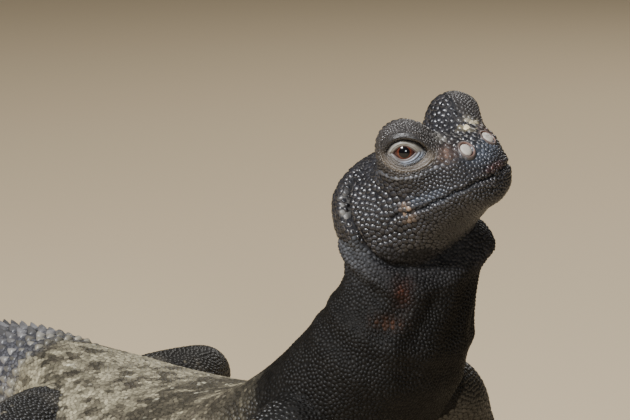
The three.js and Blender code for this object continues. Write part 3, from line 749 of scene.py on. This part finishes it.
def tint(points, found):
    """The animal's markings, with painted shade on the neck, in the jowl crease and in the lid folds and
    painted highlights on the bead row and by the ear, as one rule for its skin and its scales.
    """
    region, station, angle = found
    local = in_head(points)
    mirrored = near_side(local)
    # Base colour: the near-black of the neck and legs, taken darker still on the neck as painted shade under
    # the head.
    colour = np.tile(np.array(BLACK_AND_PAINTED_SHADE), (len(points), 1))

    def lay(paint, amount):
        colour[:] = colour + (np.array(paint) - colour) * np.clip(amount, 0, 1)[:, None]
    broad, fine = noise(points, 14, 5), noise(points, 3.2, 9)
    trunk = region == ON_TRUNK
    back_zone = trunk * smooth(station, -0.35, 0.15) * (1 - smooth(station, 4.3, 5.3))
    upper = smooth(np.sin(angle), -0.55, 0.1)
    lay(SLATE, trunk * (station < 0.3))
    lay((0.018, 0.017, 0.018), trunk * smooth(station, 7.3, 8) * 0.8)
    lay((0.045, 0.039, 0.027), back_zone)
    hips = 1 - smooth(station, 0.9, 3.6)
    reticule = smooth(0.45 * broad + 0.8 * fine + 0.35 * hips, 0.02, 0.4)
    lay((0.1, 0.087, 0.06), back_zone * smooth(broad + fine, -0.5, 0.5) * (0.3 + 0.7 * upper))
    lay(STRAW, back_zone * reticule * (0.3 + 0.6 * upper))
    lay(UMBER, back_zone * smooth(noise(points, 6, 21), 0.15, 0.5) * 0.85)
    lay((0.42, 0.39, 0.29), back_zone * smooth(noise(points, 2.4, 23), 0.42, 0.6) * upper * 0.75)
    lay((0.13, 0.125, 0.12), trunk * (station < 0) * smooth(broad, 0.05, 0.5) * 0.5)
    legs = on_legs(region)
    lay((0.07, 0.062, 0.048), legs * smooth(broad, 0, 0.6) * 0.5)
    lay((0.15, 0.13, 0.09), legs * smooth(noise(points, 2.6, 31), 0.5, 0.7) * 0.5)
    head = (region == ON_HEAD).astype(float)
    lay(CHARCOAL, head)
    lay((0.019, 0.018, 0.02), head * smooth(broad + fine, 0, 0.8))
    lay((0.010, 0.010, 0.012), head * smooth(fine, 0.1, 0.7) * 0.6)
    a, b, h = eye_plane(local)
    near_eye = (h > 0) * (1 - smooth(np.hypot(a / 9.5, (b - 1) / 7.5), 0.75, 1.1))
    lay((0.038, 0.034, 0.032), head * near_eye * 0.75)
    turn, share, _ = lid_place(local)
    above = smooth(np.sin(turn), -0.25, 0.25)
    zone = head * (h > 1) * (share < 1)
    upper_lid, lower_lid = zone * above, zone * (1 - above)

    def band(begin, full, fade, end):
        return smooth(share, begin, full) * (1 - smooth(share, fade, end))
    lay((0.15, 0.125, 0.1), lower_lid * band(0.3, 0.5, 0.75, 1) * 0.8)
    lay((0.34, 0.32, 0.28), upper_lid * band(0.03, 0.08, 0.22, 0.38) * 0.9)
    lay((0.13, 0.12, 0.11), lower_lid * band(0.05, 0.1, 0.4, 0.5))
    lay((0.27, 0.31, 0.38), lower_lid * band(0.07, 0.13, 0.26, 0.44) * smooth(np.cos(turn), -0.7, 0.2))
    lay((0.10, 0.07, 0.06), zone * (1 - smooth(share, 0.02, 0.07)))
    # Painted shade: dark lines in the lid folds, on the lower lid and on the upper.
    lay((0.08, 0.06, 0.05), lower_lid * hill(share, 0.22, 0.025))
    lay((0.05, 0.04, 0.036), upper_lid * hill(share, 0.425, 0.04))
    lay((0.035, 0.013, 0.012), head * lump(mirrored, (22.3, -1, -0.4), (1.5, 2.4, 0.8)))
    lay((0.03, 0.026, 0.024), 0.9 * head * lump(mirrored, EAR_AT, (1.1, 3, 2.6)) ** 2)
    for entry_paint, at, reach, strength, both, grain in HEAD_MARKS_AND_HIGHLIGHT:
        amount = head * lump(mirrored if both else local, at, reach) * strength
        if grain:
            scale, seed, low, high = grain
            amount = amount * smooth(noise(points, scale, seed), low, high)
        lay(entry_paint, amount)
    beads = np.interp(local[:, 0], BEAD_ROW[:, 0], BEAD_ROW[:, 2])
    # Painted highlight: a paler blue-grey band along the row of beads under the eye.
    lay((0.10, 0.105, 0.12), head * lump(local[:, [0, 2]], (6, 5.2), (8, 3)) * hill(local[:, 2], beads, 0.6))
    # Painted shade: near-black along the crease that parts the jowl from the fold behind it.
    lay((0.004, 0.004, 0.004), hill(crease_gap(local), 0, 0.7) * 0.9)
    lay((0.05, 0.052, 0.056), trunk * lump(points, (131, -12.5, 93), (6, 6, 9)) * 0.8)
    throat = points[:, 2] > 60
    upper_mark = throat * lump(points, (141.4, -5, 81.6), (1.9, 2.4, 3.6))
    lay((0.024, 0.008, 0.0045), upper_mark * smooth(fine, -0.5, 0.3))
    bands = 0.55 + 0.45 * np.sin(points @ rightward * 3.2)
    lay((0.038, 0.014, 0.0055), throat * lump(points, (139.8, -8, 73.7), (3.4, 3, 1.5)) * bands)
    return colour * (1 + 0.22 * noise(points, 1.1, 51, 2))[:, None]


# Scales: evenly spread roots, each grown out to its neighbours
def spacing_at(points, found):
    region, station, _ = found
    local = in_head(points)
    a, b, h = eye_plane(local)
    orbit = (h > 0) * (1 - smooth(np.hypot(a / 9.5, (b - 1.5) / 8), 0.8, 1.1))
    side = np.abs(local[:, 1])
    head = 1.28 - 0.6 * orbit
    head = head - 0.42 * (1 - orbit) * smooth(local[:, 0], 2, 9) * (local[:, 2] < 4)
    head = head + 0.35 * (local[:, 2] > 6) * smooth(local[:, 0], 9, 14) * (side < 8)
    head = head - 0.3 * (local[:, 2] < -9) * (side < 9)
    trunk = np.interp(station, [-6, -5, 0, 5, 6, 7.5, 8.5], [0.9, 1.15, 1.25, 1.15, 0.95, 0.85, 1.0])
    legs = np.interp(station, [0, 2, 4, 6], [1.25, 1.3, 1.15, 0.95])
    return np.where(region == ON_HEAD, head, np.where(region == ON_TRUNK, trunk, legs))


WELL_OUT, LIP_END = 40.0, 20.4


def cheek_point(tree, x, z, side):
    """The skin at a height and distance along the head, found from its side."""
    begin = in_pose(np.array([[x, side * WELL_OUT, z]]))[0]
    return tree.ray_cast(Vector(begin), Vector(HEAD_TURN @ np.array([0, -side, 0.0])))[0]


def lined_roots(tree):
    """Scales that stand in rows: along both lips and under the eye."""
    rows, sizes = [], []
    bead = through(BEAD_ROW)
    for side in (-1, 1):
        for lift, step in ((0.95, 1.12), (2.15, 1.22), (-0.95, 1.05), (-2.05, 1.12)):
            for x in np.arange(1, LIP_END, step):
                rows.append(cheek_point(tree, x, float(mouth_height(x)) + lift, side))
                sizes.append(step)
        for at in np.arange(0, len(BEAD_ROW) - 1 + 0.01, 0.5):
            x, _, z = bead([at])[0]
            rows.append(cheek_point(tree, x, z, side))
            sizes.append(1.5)
    keep = [i for i, p in enumerate(rows) if p is not None]
    return np.array([tuple(rows[i]) for i in keep]), np.array(sizes)[keep]


LINED_CLEAR, LOOSE_CLEAR = 0.3, 0.82
TRIES, SETTLINGS = 6, 4


def spread_roots(mesh, tree, rows=None, want_of=None):
    """Roots spread over a mesh as far apart as wanted, those in rows first, then eased apart."""
    mesh.calc_loop_triangles()
    triangles = np.array([t.vertices[:] for t in mesh.loop_triangles])
    co, _ = read_mesh(mesh)
    corners = co[triangles]
    middle = corners.mean(1)
    area = np.linalg.norm(np.cross(corners[:, 1] - corners[:, 0], corners[:, 2] - corners[:, 0]), axis=1) / 2
    want = want_of(middle) if want_of else spacing_at(middle, describe(middle))
    density = np.cumsum(area / want**2)
    tries = int(density[-1] * TRIES)
    pick = np.searchsorted(density, rng.random(tries) * density[-1])
    u, v = rng.random(tries), rng.random(tries)
    flip = u + v > 1
    u[flip], v[flip] = 1 - u[flip], 1 - v[flip]
    c = corners[pick]
    places = c[:, 0] + (c[:, 1] - c[:, 0]) * u[:, None] + (c[:, 2] - c[:, 0]) * v[:, None]
    spaces, fixed = want[pick], 0
    if rows is not None:
        fixed = len(rows[0])
        places, spaces = np.vstack([rows[0], places]), np.concatenate([rows[1], spaces])
    kept = keep_places(places, np.concatenate([spaces[:fixed] * LINED_CLEAR, spaces[fixed:] * LOOSE_CLEAR]))
    roots, space = places[kept], spaces[kept]
    loose = (kept >= fixed)[:, None]
    for _ in range(SETTLINGS):
        away, gap = neighbours(roots, 7)
        reach = space[:, None] * 1.05
        push = np.clip(1 - gap / reach, 0, 1) * reach * 0.32
        roots = roots - loose * (away / np.maximum(gap, 1e-6)[..., None] * push[..., None]).sum(1)
        roots = np.array([tree.find_nearest(Vector(p))[0] for p in roots])
    return roots, space


def keep_places(places, radius):
    """Keeps each place, in turn, that is clear of those kept before it; no radius is over the cell's size."""
    cell = 1.3
    keys = np.floor(places / cell).astype(int).tolist()
    listed, r2 = places.tolist(), (radius**2).tolist()
    grid, kept = {}, []
    around = [(i, j, k) for i in (-1, 0, 1) for j in (-1, 0, 1) for k in (-1, 0, 1)]
    for n, (i, j, k) in enumerate(keys):
        x, y, z = listed[n]
        clear = True
        for di, dj, dk in around:
            for ox, oy, oz in grid.get((i + di, j + dj, k + dk), ()):
                if (x - ox) ** 2 + (y - oy) ** 2 + (z - oz) ** 2 < r2[n]:
                    clear = False
                    break
            if not clear:
                break
        if clear:
            kept.append(n)
            grid.setdefault((i, j, k), []).append((x, y, z))
    return np.array(kept)


def neighbours(roots, count):
    tree = point_tree(roots)
    index = np.array([[n[1] for n in tree.find_n(p, count + 1)][1:] for p in roots])
    away = roots[index] - roots[:, None]
    return away, np.linalg.norm(away, axis=-1)


def lie_of(points, found):
    """The way the scales point: back along the head and trunk, down along the limbs."""
    region, station, _ = found
    lie = np.tile(np.array([-1.0, 0, 0]), (len(points), 1))
    lie[region == ON_HEAD] = -HEAD_TURN[:, 0]
    for r, table in enumerate(CURVES):
        chosen = region == r
        if not chosen.any():
            continue
        curve = through(table)
        s = station[chosen] + (ROOT if r == 0 else 0)
        ahead = unit(curve(s + 0.01)[:, :3] - curve(s - 0.01)[:, :3])
        lie[chosen] = -ahead if r == 0 else ahead
    return lie


TRUNK_STATIONS, LIMB_STATIONS, HEAD_BEHIND, HEAD_LONG = 16.2, 6.2, 24, 47


def unwrap(found, points):
    """Each point's place on a flat sheet: round its region, and along it."""
    region, station, angle = found
    on_head = (in_head(points)[:, 0] + HEAD_BEHIND) / HEAD_LONG
    v = np.where(region == ON_HEAD, on_head, station / LIMB_STATIONS)
    v = np.where(region == ON_TRUNK, (station + ROOT) / TRUNK_STATIONS, v)
    u = (angle + math.pi) / (2 * math.pi)
    u = np.where(on_legs(region), (u + region - 1) / len(LEGS), u)
    return np.stack([u, v], 1) * 0.98 + 0.01


RIM, SHOULDER = 0.97, 0.66


def scale_piece(name, roots, space, away, normal, found, sides, chosen):
    """One piece of the chosen scales, each a low cap whose outline stops half way to its neighbours."""
    roots, space, away, normal = (v[chosen] for v in (roots, space, away, normal))
    found = tuple(v[chosen] for v in found)
    region, station, _ = found
    lie = lie_of(roots, found)
    u = unit(lie - normal * (lie * normal).sum(1)[:, None])
    v = np.cross(normal, u)
    turns = angles_of(sides) + math.pi / sides
    flat = away - (away * normal[:, None]).sum(-1)[..., None] * normal[:, None]
    size2 = (flat**2).sum(-1)
    ways = np.cos(turns)[None, :, None] * u[:, None] + np.sin(turns)[None, :, None] * v[:, None]
    facing = np.maximum(np.einsum("njc,nkc->nkj", flat, ways), 1e-3)
    reach = np.minimum((size2[:, None] / (2 * facing)).min(-1), space[:, None] * 0.78)
    head, leg = region == ON_HEAD, on_legs(region)
    tall = space * np.where(head, 0.27, np.where(leg, 0.24, np.where(station > 5.6, 0.3, 0.17)))
    tall = tall * (0.85 + 0.3 * rng.random(len(roots)))
    lean = np.where(head, 0.16, np.where(leg, 0.26, 0.18)) * space
    rim = roots[:, None] + ways * (reach * RIM)[..., None] - normal[:, None] * 0.07
    slope = 1 + 0.25 * np.cos(turns)[None, :]
    leaning = u[:, None] * (lean * 0.5)[:, None, None]
    shoulder = (roots[:, None] + ways * (reach * SHOULDER)[..., None] + leaning
                + normal[:, None] * (tall[:, None] * 0.72 * slope)[..., None])
    top = roots + u * lean[:, None] + normal * tall[:, None]
    points = np.concatenate([rim, shoulder, top[:, None]], 1)
    points[..., 2] = np.maximum(points[..., 2], 0.03)

    each = 2 * sides + 1
    k = np.arange(sides)
    after = (k + 1) % sides
    quads = np.stack([k, after, sides + after, sides + k], 1)
    caps = np.stack([sides + k, sides + after, np.full(sides, 2 * sides)], 1)
    start = (np.arange(len(roots)) * each)[:, None, None]
    quads, caps = (quads[None] + start).reshape(-1, 4), (caps[None] + start).reshape(-1, 3)
    loops = np.concatenate([quads.ravel(), caps.ravel()])
    starts = np.concatenate([np.arange(len(quads)) * 4, len(quads) * 4 + np.arange(len(caps)) * 3])
    mesh = bpy.data.meshes.new(name)
    mesh.vertices.add(len(roots) * each)
    mesh.vertices.foreach_set("co", to_frame(points.reshape(-1, 3)).astype(np.float32).ravel())
    mesh.loops.add(len(loops))
    mesh.loops.foreach_set("vertex_index", loops.astype(np.int32))
    mesh.polygons.add(len(starts))
    mesh.polygons.foreach_set("loop_start", starts.astype(np.int32))
    mesh.update(calc_edges=True)
    mesh.shade_smooth()
    paint(mesh, np.repeat(tint(roots, found), each, 0))
    mark(mesh, "grain", np.repeat(rng.random(len(roots)), each))
    mark(mesh, "edge", np.tile(np.concatenate([np.ones(sides), np.full(sides, 0.3), [0.0]]), len(roots)))
    ring = np.stack([np.cos(turns), np.sin(turns)], 1) * 0.0015
    uv = np.repeat(unwrap(found, roots), each, 0)
    uv = uv + np.tile(np.concatenate([ring, ring * SHOULDER, [[0, 0]]]), (len(roots), 1))
    mesh.uv_layers.new(name="OFBake").data.foreach_set("uv", uv[loops].astype(np.float32).ravel())
    made = add_object(name, mesh)
    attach(made, "root")
    return made


def feed(node, sockets):
    """Sets each named socket of a node to a value, or links it to another node's output."""
    for key, value in sockets.items():
        if isinstance(value, bpy.types.NodeSocket):
            node.id_data.links.new(value, node.inputs[key])
        else:
            node.inputs[key].default_value = value


def new_material(name):
    """A material, its shader, and a call that adds a node and gives back the output named."""
    made = bpy.data.materials.new(name)
    made.use_nodes = True
    nodes = made.node_tree.nodes

    def add(kind, output, sockets, **settings):
        node = nodes.new("ShaderNode" + kind)
        for key, value in settings.items():
            setattr(node, key, value)
        feed(node, sockets)
        return node.outputs[output]
    return made, nodes["Principled BSDF"], add


# Lights and floor
def area_light(name, at, aim, size, watts, colour):
    light = bpy.data.lights.new(name, "AREA")
    light.shape = "DISK"
    light.size = size
    light.energy = watts
    light.color = colour
    made = add_object(name, light)
    made.location = at
    made.rotation_euler = (Vector(at) - Vector(aim)).to_track_quat("Z", "Y").to_euler()


HEAD_PLACE = (0.13, 0, 0.1)
area_light("key", (0.3, -0.75, 0.85), HEAD_PLACE, 0.17, 27, (0.97, 0.98, 1))
area_light("fill", (1.0, -0.5, 0.42), HEAD_PLACE, 0.2, 4.5, (0.9, 0.95, 1))
area_light("rim", (-0.3, 0.8, 0.7), HEAD_PLACE, 0.5, 4, (1, 0.97, 0.92))
world = bpy.data.worlds.new("studio")
bpy.context.scene.world = world
world.use_nodes = True
feed(world.node_tree.nodes["Background"], {"Color": (0.62, 0.55, 0.43, 1), "Strength": 0.17})

floor = mesh_object("floor", [(-4, -4, 0), (4, -4, 0), (4, 4, 0), (-4, 4, 0)], [(0, 1, 2, 3)])
floor_paint, floor_shader, add_to_floor = new_material("pale_floor")
grit = add_to_floor("TexNoise", "Fac", {"Scale": 40})
grit_tones = add_to_floor("MapRange", "Result", {"To Min": 0.66, "To Max": 0.74, "Value": grit})
feed(floor_shader, {"Roughness": grit_tones, "Base Color": (0.5, 0.4, 0.26, 1)})
floor.data.materials.append(floor_paint)

# The skin's scales in pieces by region, with none on the lids, ears and nostrils or under the feet
PIECE_TRIANGLES, NECK_FROM = 190000, 5.2
scaled = []
skin_points, skin_normals = read_mesh(skin.data)
tree = surface_tree(skin_points, skin.data)
roots, space = spread_roots(skin.data, tree, lined_roots(tree))
found = describe(roots)
near = point_tree(skin_points)
normal = unit(np.array([sum((skin_normals[i] for _, i, _ in near.find_n(p, 3)), np.zeros(3)) for p in roots]))
away, _ = neighbours(roots, 10)
region, station, _ = found
local = in_head(roots)
_, share, h = lid_place(local)
to_side = near_side(local)
bare = (region == ON_HEAD) & (h > 0) & (share < 0.93)
bare |= (((to_side - EAR_AT) / [0.7, 3, 2]) ** 2).sum(1) < 1
bare |= np.linalg.norm(to_side - NOSTRIL_AT, axis=1) < 1.9
bare |= (normal[:, 2] < -0.85) & (roots[:, 2] < 0.4)
KINDS = ["head", "neck", "torso", "tail", "leg"]
kind = np.select([region == ON_HEAD, on_legs(region), station > NECK_FROM, station > 0], [0, 4, 1, 2], 3)
for code, name in enumerate(KINDS):
    chosen = np.where((kind == code) & ~bare)[0]
    sides = 8 if name in ("head", "neck") else 6
    limit = PIECE_TRIANGLES // (3 * sides)
    for part in range(0, len(chosen), limit):
        scaled.append(scale_piece(f"{name}_scales_{part // limit + 1}", roots, space, away, normal, found,
                                  sides, chosen[part:part + limit]))
paint(skin.data, tint(skin_points, describe(skin_points)))


def lid_scales(made):
    """Small scales on a lid, larger towards the orbit's rim, and none beside the slit."""
    points, normals = read_mesh(made.data)
    paint(made.data, tint(points, describe(points)))
    near = point_tree(points)
    shares, _, upward_share = ring_grid(LID_SHARES, LID_TURNS).T

    def spacing(middle):
        share = shares[[near.find(p)[1] for p in middle]]
        return np.where(share < 0.18, 3.0, 0.36 + 0.26 * share)
    roots, space = spread_roots(made.data, surface_tree(points, made.data), None, spacing)
    index = np.array([near.find(p)[1] for p in roots])
    fits = shares[index] > np.where(upward_share[index] > -0.1, 0.34, 0.2)
    fits &= shares[index] < 0.99
    away, _ = neighbours(roots, 10)
    _, station, angle = describe(roots)
    found = (np.full(len(roots), ON_HEAD), station, angle)
    return scale_piece(made.name.replace("lids", "head_lid_scales"), roots, space * 0.9, away, normals[index],
                       found, 6, fits)


scaled += [lid_scales(made) for made in lid_pieces]


# Materials
def scale_material(name, roughness, edge_gain, specular=0.42):
    """Horny skin: its own tint, a tone for each scale, blotches, worn pale edges and a fine uneven shine."""
    made, shader, add = new_material(name)
    colour = add("Attribute", "Color", {}, attribute_name="tint")
    grain = add("Attribute", "Fac", {}, attribute_name="grain")
    edge = add("Attribute", "Fac", {}, attribute_name="edge")
    place = add("TexCoord", "Object", {})
    mottle = add("TexNoise", "Fac", {"Vector": place, "Scale": 900.0, "Detail": 3.0})
    worn = add("TexNoise", "Fac", {"Vector": place, "Scale": 260.0, "Detail": 4.0})
    level = add("MapRange", "Result", {"Value": grain, "To Min": 0.6, "To Max": 1.5})
    blotch = add("MapRange", "Result", {"Value": worn, "To Min": 0.6, "To Max": 1.4})
    spread = add("Math", "Value", {0: level, 1: blotch}, operation="MULTIPLY")
    toned = add("VectorMath", "Vector", {0: colour, "Scale": spread}, operation="SCALE")
    edge_power = add("Math", "Value", {0: edge, 1: 3.2}, operation="POWER")
    rim = add("Math", "Value", {0: edge_power, 1: edge_gain}, operation="MULTIPLY")
    pale = (0.16, 0.14, 0.12, 1)
    lit = add("Mix", "Result", {"Factor": rim, "A": toned, "B": pale}, data_type="RGBA", blend_type="ADD")
    low, high = roughness - 0.1, roughness + 0.16
    shine = add("MapRange", "Result", {"Value": mottle, "To Min": low, "To Max": high})
    relief = add("Bump", "Normal", {"Height": mottle, "Strength": 0.25, "Distance": 0.00008})
    feed(shader, {"Base Color": lit, "Roughness": shine, "Normal": relief, "Specular IOR Level": specular})
    return made


scale_finish = scale_material("scale_keratin", 0.28, 0.45)
matte_finish = scale_material("neck_scales_matte", 0.46, 0.1, 0.1)
body_finish = scale_material("body_scales", 0.42, 0.15, 0.38)
SCALE_LOOKS = {"head": (scale_finish, "head_skin"), "neck": (matte_finish, "dark_skin"),
               "torso": (body_finish, "back_skin"), "tail": (body_finish, "tail_skin"),
               "leg": (body_finish, "dark_skin")}
for made in scaled:
    finish, slot = SCALE_LOOKS[made.name.split("_")[0]]
    made.data.materials.append(finish)
skin_finish = scale_material("skin_between", 0.6, 0.0, 0.15)
IRIS_RINGS = [
    (0.0, (0.002, 0.002, 0.003)), (0.3, (0.002, 0.002, 0.003)), (0.325, (0.075, 0.018, 0.008)),
    (0.36, (0.062, 0.017, 0.009)), (0.41, (0.035, 0.012, 0.009)), (0.46, (0.03, 0.012, 0.01)),
    (0.75, (0.016, 0.01, 0.009))]


def eye_material():
    """A wet eye: a black pupil in a streaked dark red iris, by the angle from the line of sight."""
    made, shader, add = new_material("wet_eye")
    gaze = add("Attribute", "Vector", {}, attribute_name="gaze")
    off_gaze = add("SeparateXYZ", "X", {0: gaze})
    streak_at = add("VectorMath", 0, {0: gaze, 1: (3, 9, 9)}, operation="MULTIPLY")
    streaks = add("TexNoise", "Fac", {"Vector": streak_at, "Scale": 2.4, "Detail": 5})
    rings = add("ValToRGB", "Color", {"Fac": off_gaze})
    elements = rings.node.color_ramp.elements
    for n, (at, colour) in enumerate(IRIS_RINGS):
        stop = elements[n] if n < 2 else elements.new(at)
        stop.position = at
        stop.color = (*colour, 1)
    level = add("MapRange", "Result",
                {"Value": streaks, "From Min": 0.3, "From Max": 0.7, "To Min": 0.45, "To Max": 1.7})
    iris = add("VectorMath", "Vector", {0: rings, "Scale": level}, operation="SCALE")
    gloss = add("MapRange", "Result", {"Value": streaks, "To Min": 0.08, "To Max": 0.22})
    feed(shader, {"Base Color": iris, "Roughness": gloss, "Coat Weight": 0.35, "Coat Roughness": 0.03,
                  "Specular IOR Level": 0.2})
    return made


eye_finish = eye_material()
lid_finish = scale_material("lid_skin", 0.42, 0.0)
horn_finish = scale_material("horn", 0.33, 0.0)


def hand_over(made, finish):
    made.data.materials.append(finish)
    write_points(made.data, to_frame(read_mesh(made.data)[0]))
    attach(made, "root")


def horn_piece(name, ring_sets, colour_of):
    made, counts = solid_lofts(name, ring_sets)
    made.data.shade_smooth()
    paint(made.data, colour_of(read_mesh(made.data)[0]))
    mark(made.data, "grain", np.repeat([rng.random() for _ in counts], counts))
    hand_over(made, horn_finish)


def spine(base, axis, up, wide, thick, length, lift):
    """A flattened spine that leaves the tail low and turns up a little towards its point."""
    across = unit(np.cross(axis, up))
    t = np.linspace(0, 1, 7)[:, None]
    middle = base + axis * length * (t * 1.15 - 0.15) + up * lift * t**1.7
    size = np.clip(1 - t**1.6, 0.04, 1) ** 0.8
    turns = angles_of(8)
    ridge = 1 + 0.35 * hill(turns, math.pi / 2, 0.5)
    ring = (np.cos(turns) * wide)[:, None] * across + (np.sin(turns) * ridge * thick)[:, None] * up
    rings = middle[:, None] + ring * size[:, None]
    rings[..., 2] = np.maximum(rings[..., 2], 0.05)
    return rings


SPINE_ROWS = (0.32, 0.82)  # where on each whorl its two rows of spines stand
TUFT_ROWS = ((0.72, 9), (0.4, 6), (0, 1))  # the tail's tip: how far out each ring is, and its spines


def tail_spines():
    starts = whorl_starts()
    found = []
    for w, share in [(w, share) for w in range(WHORLS) for share in SPINE_ROWS]:
        at = -(starts[w] + (starts[w + 1] - starts[w]) * share)
        c, side, up, along = (v[0] for v in frames(backbone, np.array([ROOT + at]), ACROSS))
        span = np.linalg.norm(backbone([ROOT - starts[w]]) - backbone([ROOT - starts[w + 1]]))
        taper = 1 - 0.5 * w / WHORLS
        count = max(int(math.pi * (c[3] + c[4]) / 3.1), 10)
        for n in range(count):
            angle = 2 * math.pi * (n + 0.5 + 0.12 * (rng.random() - 0.5)) / count
            co, si = math.cos(angle), math.sin(angle)
            low = si < -0.3
            tall = c[4] if angle < math.pi else c[5]
            out = unit(co / c[3] * side + si / tall * up)
            base = c[:3] + side * co * c[3] + up * si * tall + out * 0.15
            bold = min(0.6 + 0.2 * w, 1) * (0.5 if low else 0.85 + 0.3 * abs(co)) * (0.9 + 0.2 * rng.random())
            axis = unit(-along + out * (0.1 if low else 0.3))
            wide, thick = 1.7 * taper ** 0.5 * (0.8 if low else 1), 1.15 * taper * (0.6 if low else 1)
            length = 0.43 * span * bold * (1 if share > 0.5 else 0.8)
            found.append(spine(base, axis, out, wide, thick, length, (0.1 if low else 0.55) * taper))
    c, side, up, along = (v[0] for v in frames(backbone, np.array([TAIL_TIP]), ACROSS))
    for ring, count in TUFT_ROWS:
        for n in range(count):
            angle = 2 * math.pi * (n + 0.5 * ring) / count
            out = math.cos(angle) * side + math.sin(angle) * up
            base = c[:3] + along * 0.5 + out * ring * c[4]
            found.append(spine(base, unit(-along + out * ring * 0.5), out, 0.8, 0.6, 1.35, 0.1))
    return found


def horn_tint(low, high):
    def of(points):
        mix = (0.5 + 0.5 * noise(points, 2.5, 61))[:, None]
        return np.array(low) * (1 - mix) + np.array(high) * mix
    return of


def spine_tint(points):
    station = describe(points)[1]
    plain = horn_tint((0.045, 0.045, 0.05), (0.17, 0.165, 0.165))(points)
    straw = smooth(station + 0.5 * noise(points, 5, 63), -0.9, 0.1)[:, None] * 0.75
    return plain + (np.array([0.2, 0.18, 0.13]) - plain) * straw


claw_tint = horn_tint((0.012, 0.011, 0.01), (0.05, 0.042, 0.032))
horn_piece("tail_spines", tail_spines(), spine_tint)
for name, claw_rings in claws:
    horn_piece(name.replace("leg", "claws"), claw_rings, claw_tint)


def nostril(side, name):
    """A swollen ring round the nostril, with the pale crust that closes it."""
    at = in_pose((NOSTRIL_AT * [1, -side, 1.0])[None])[0]
    place, out, _, _ = tree.find_nearest(Vector(at))
    place, out = np.array(place), np.array(out)
    out = unit(out if out @ (place - in_pose(np.array([[10.0, 0, 0]]))[0]) > 0 else -out)
    over = unit(HEAD_TURN[:, 2] - out * (HEAD_TURN[:, 2] @ out))
    ahead = np.cross(over, out) * (1 if np.cross(over, out) @ HEAD_TURN[:, 0] > 0 else -1)
    radii = np.array([1.35, 1.22, 1.12, 1.0, 0.92, 0.85, 0.8, 0.74, 0.6, 0.38, 0.16, 0.02])
    lift = np.array([-0.3, 0.0, 0.24, 0.36, 0.28, -0.1, -0.12, 0.22, 0.42, 0.5, 0.52, 0.52])
    shift = np.array([0, 0, 0, 0, -0.03, -0.1, -0.16, -0.2, -0.2, -0.2, -0.2, -0.2])
    shades = np.array([[0.04, 0.037, 0.037], [0.06, 0.05, 0.047], [0.11, 0.085, 0.075], [0.16, 0.115, 0.1],
                       [0.22, 0.12, 0.09], [0.05, 0.025, 0.02], [0.08, 0.04, 0.03]] + [[0.5, 0.46, 0.4]] * 5)
    turns = angles_of(48)
    forward = radii[:, None] * np.cos(turns) * 1.8 + shift[:, None]
    upper = radii[:, None] * np.sin(turns) * 2.1
    rings = place + forward[..., None] * ahead + upper[..., None] * over + lift[:, None, None] * out
    points = rings.reshape(-1, 3)
    made = mesh_object(name, points, grid_faces(len(radii), len(turns)))
    paint(made.data, np.repeat(shades, len(turns), 0) * (1 + 0.25 * noise(points, 0.7, 71))[:, None])
    hand_over(made, lid_finish)


nostril(-1, "nostril_right")
nostril(1, "nostril_left")
skin.data.materials.clear()
hand_over(skin, skin_finish)
for made in lid_pieces:
    hand_over(made, lid_finish)
for made, node in zip(eye_pieces, ["eye_right", "eye_left"]):
    hand_over(made, eye_finish)
    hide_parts(node)
FLESH = [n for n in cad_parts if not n.startswith("eye")]
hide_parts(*FLESH)
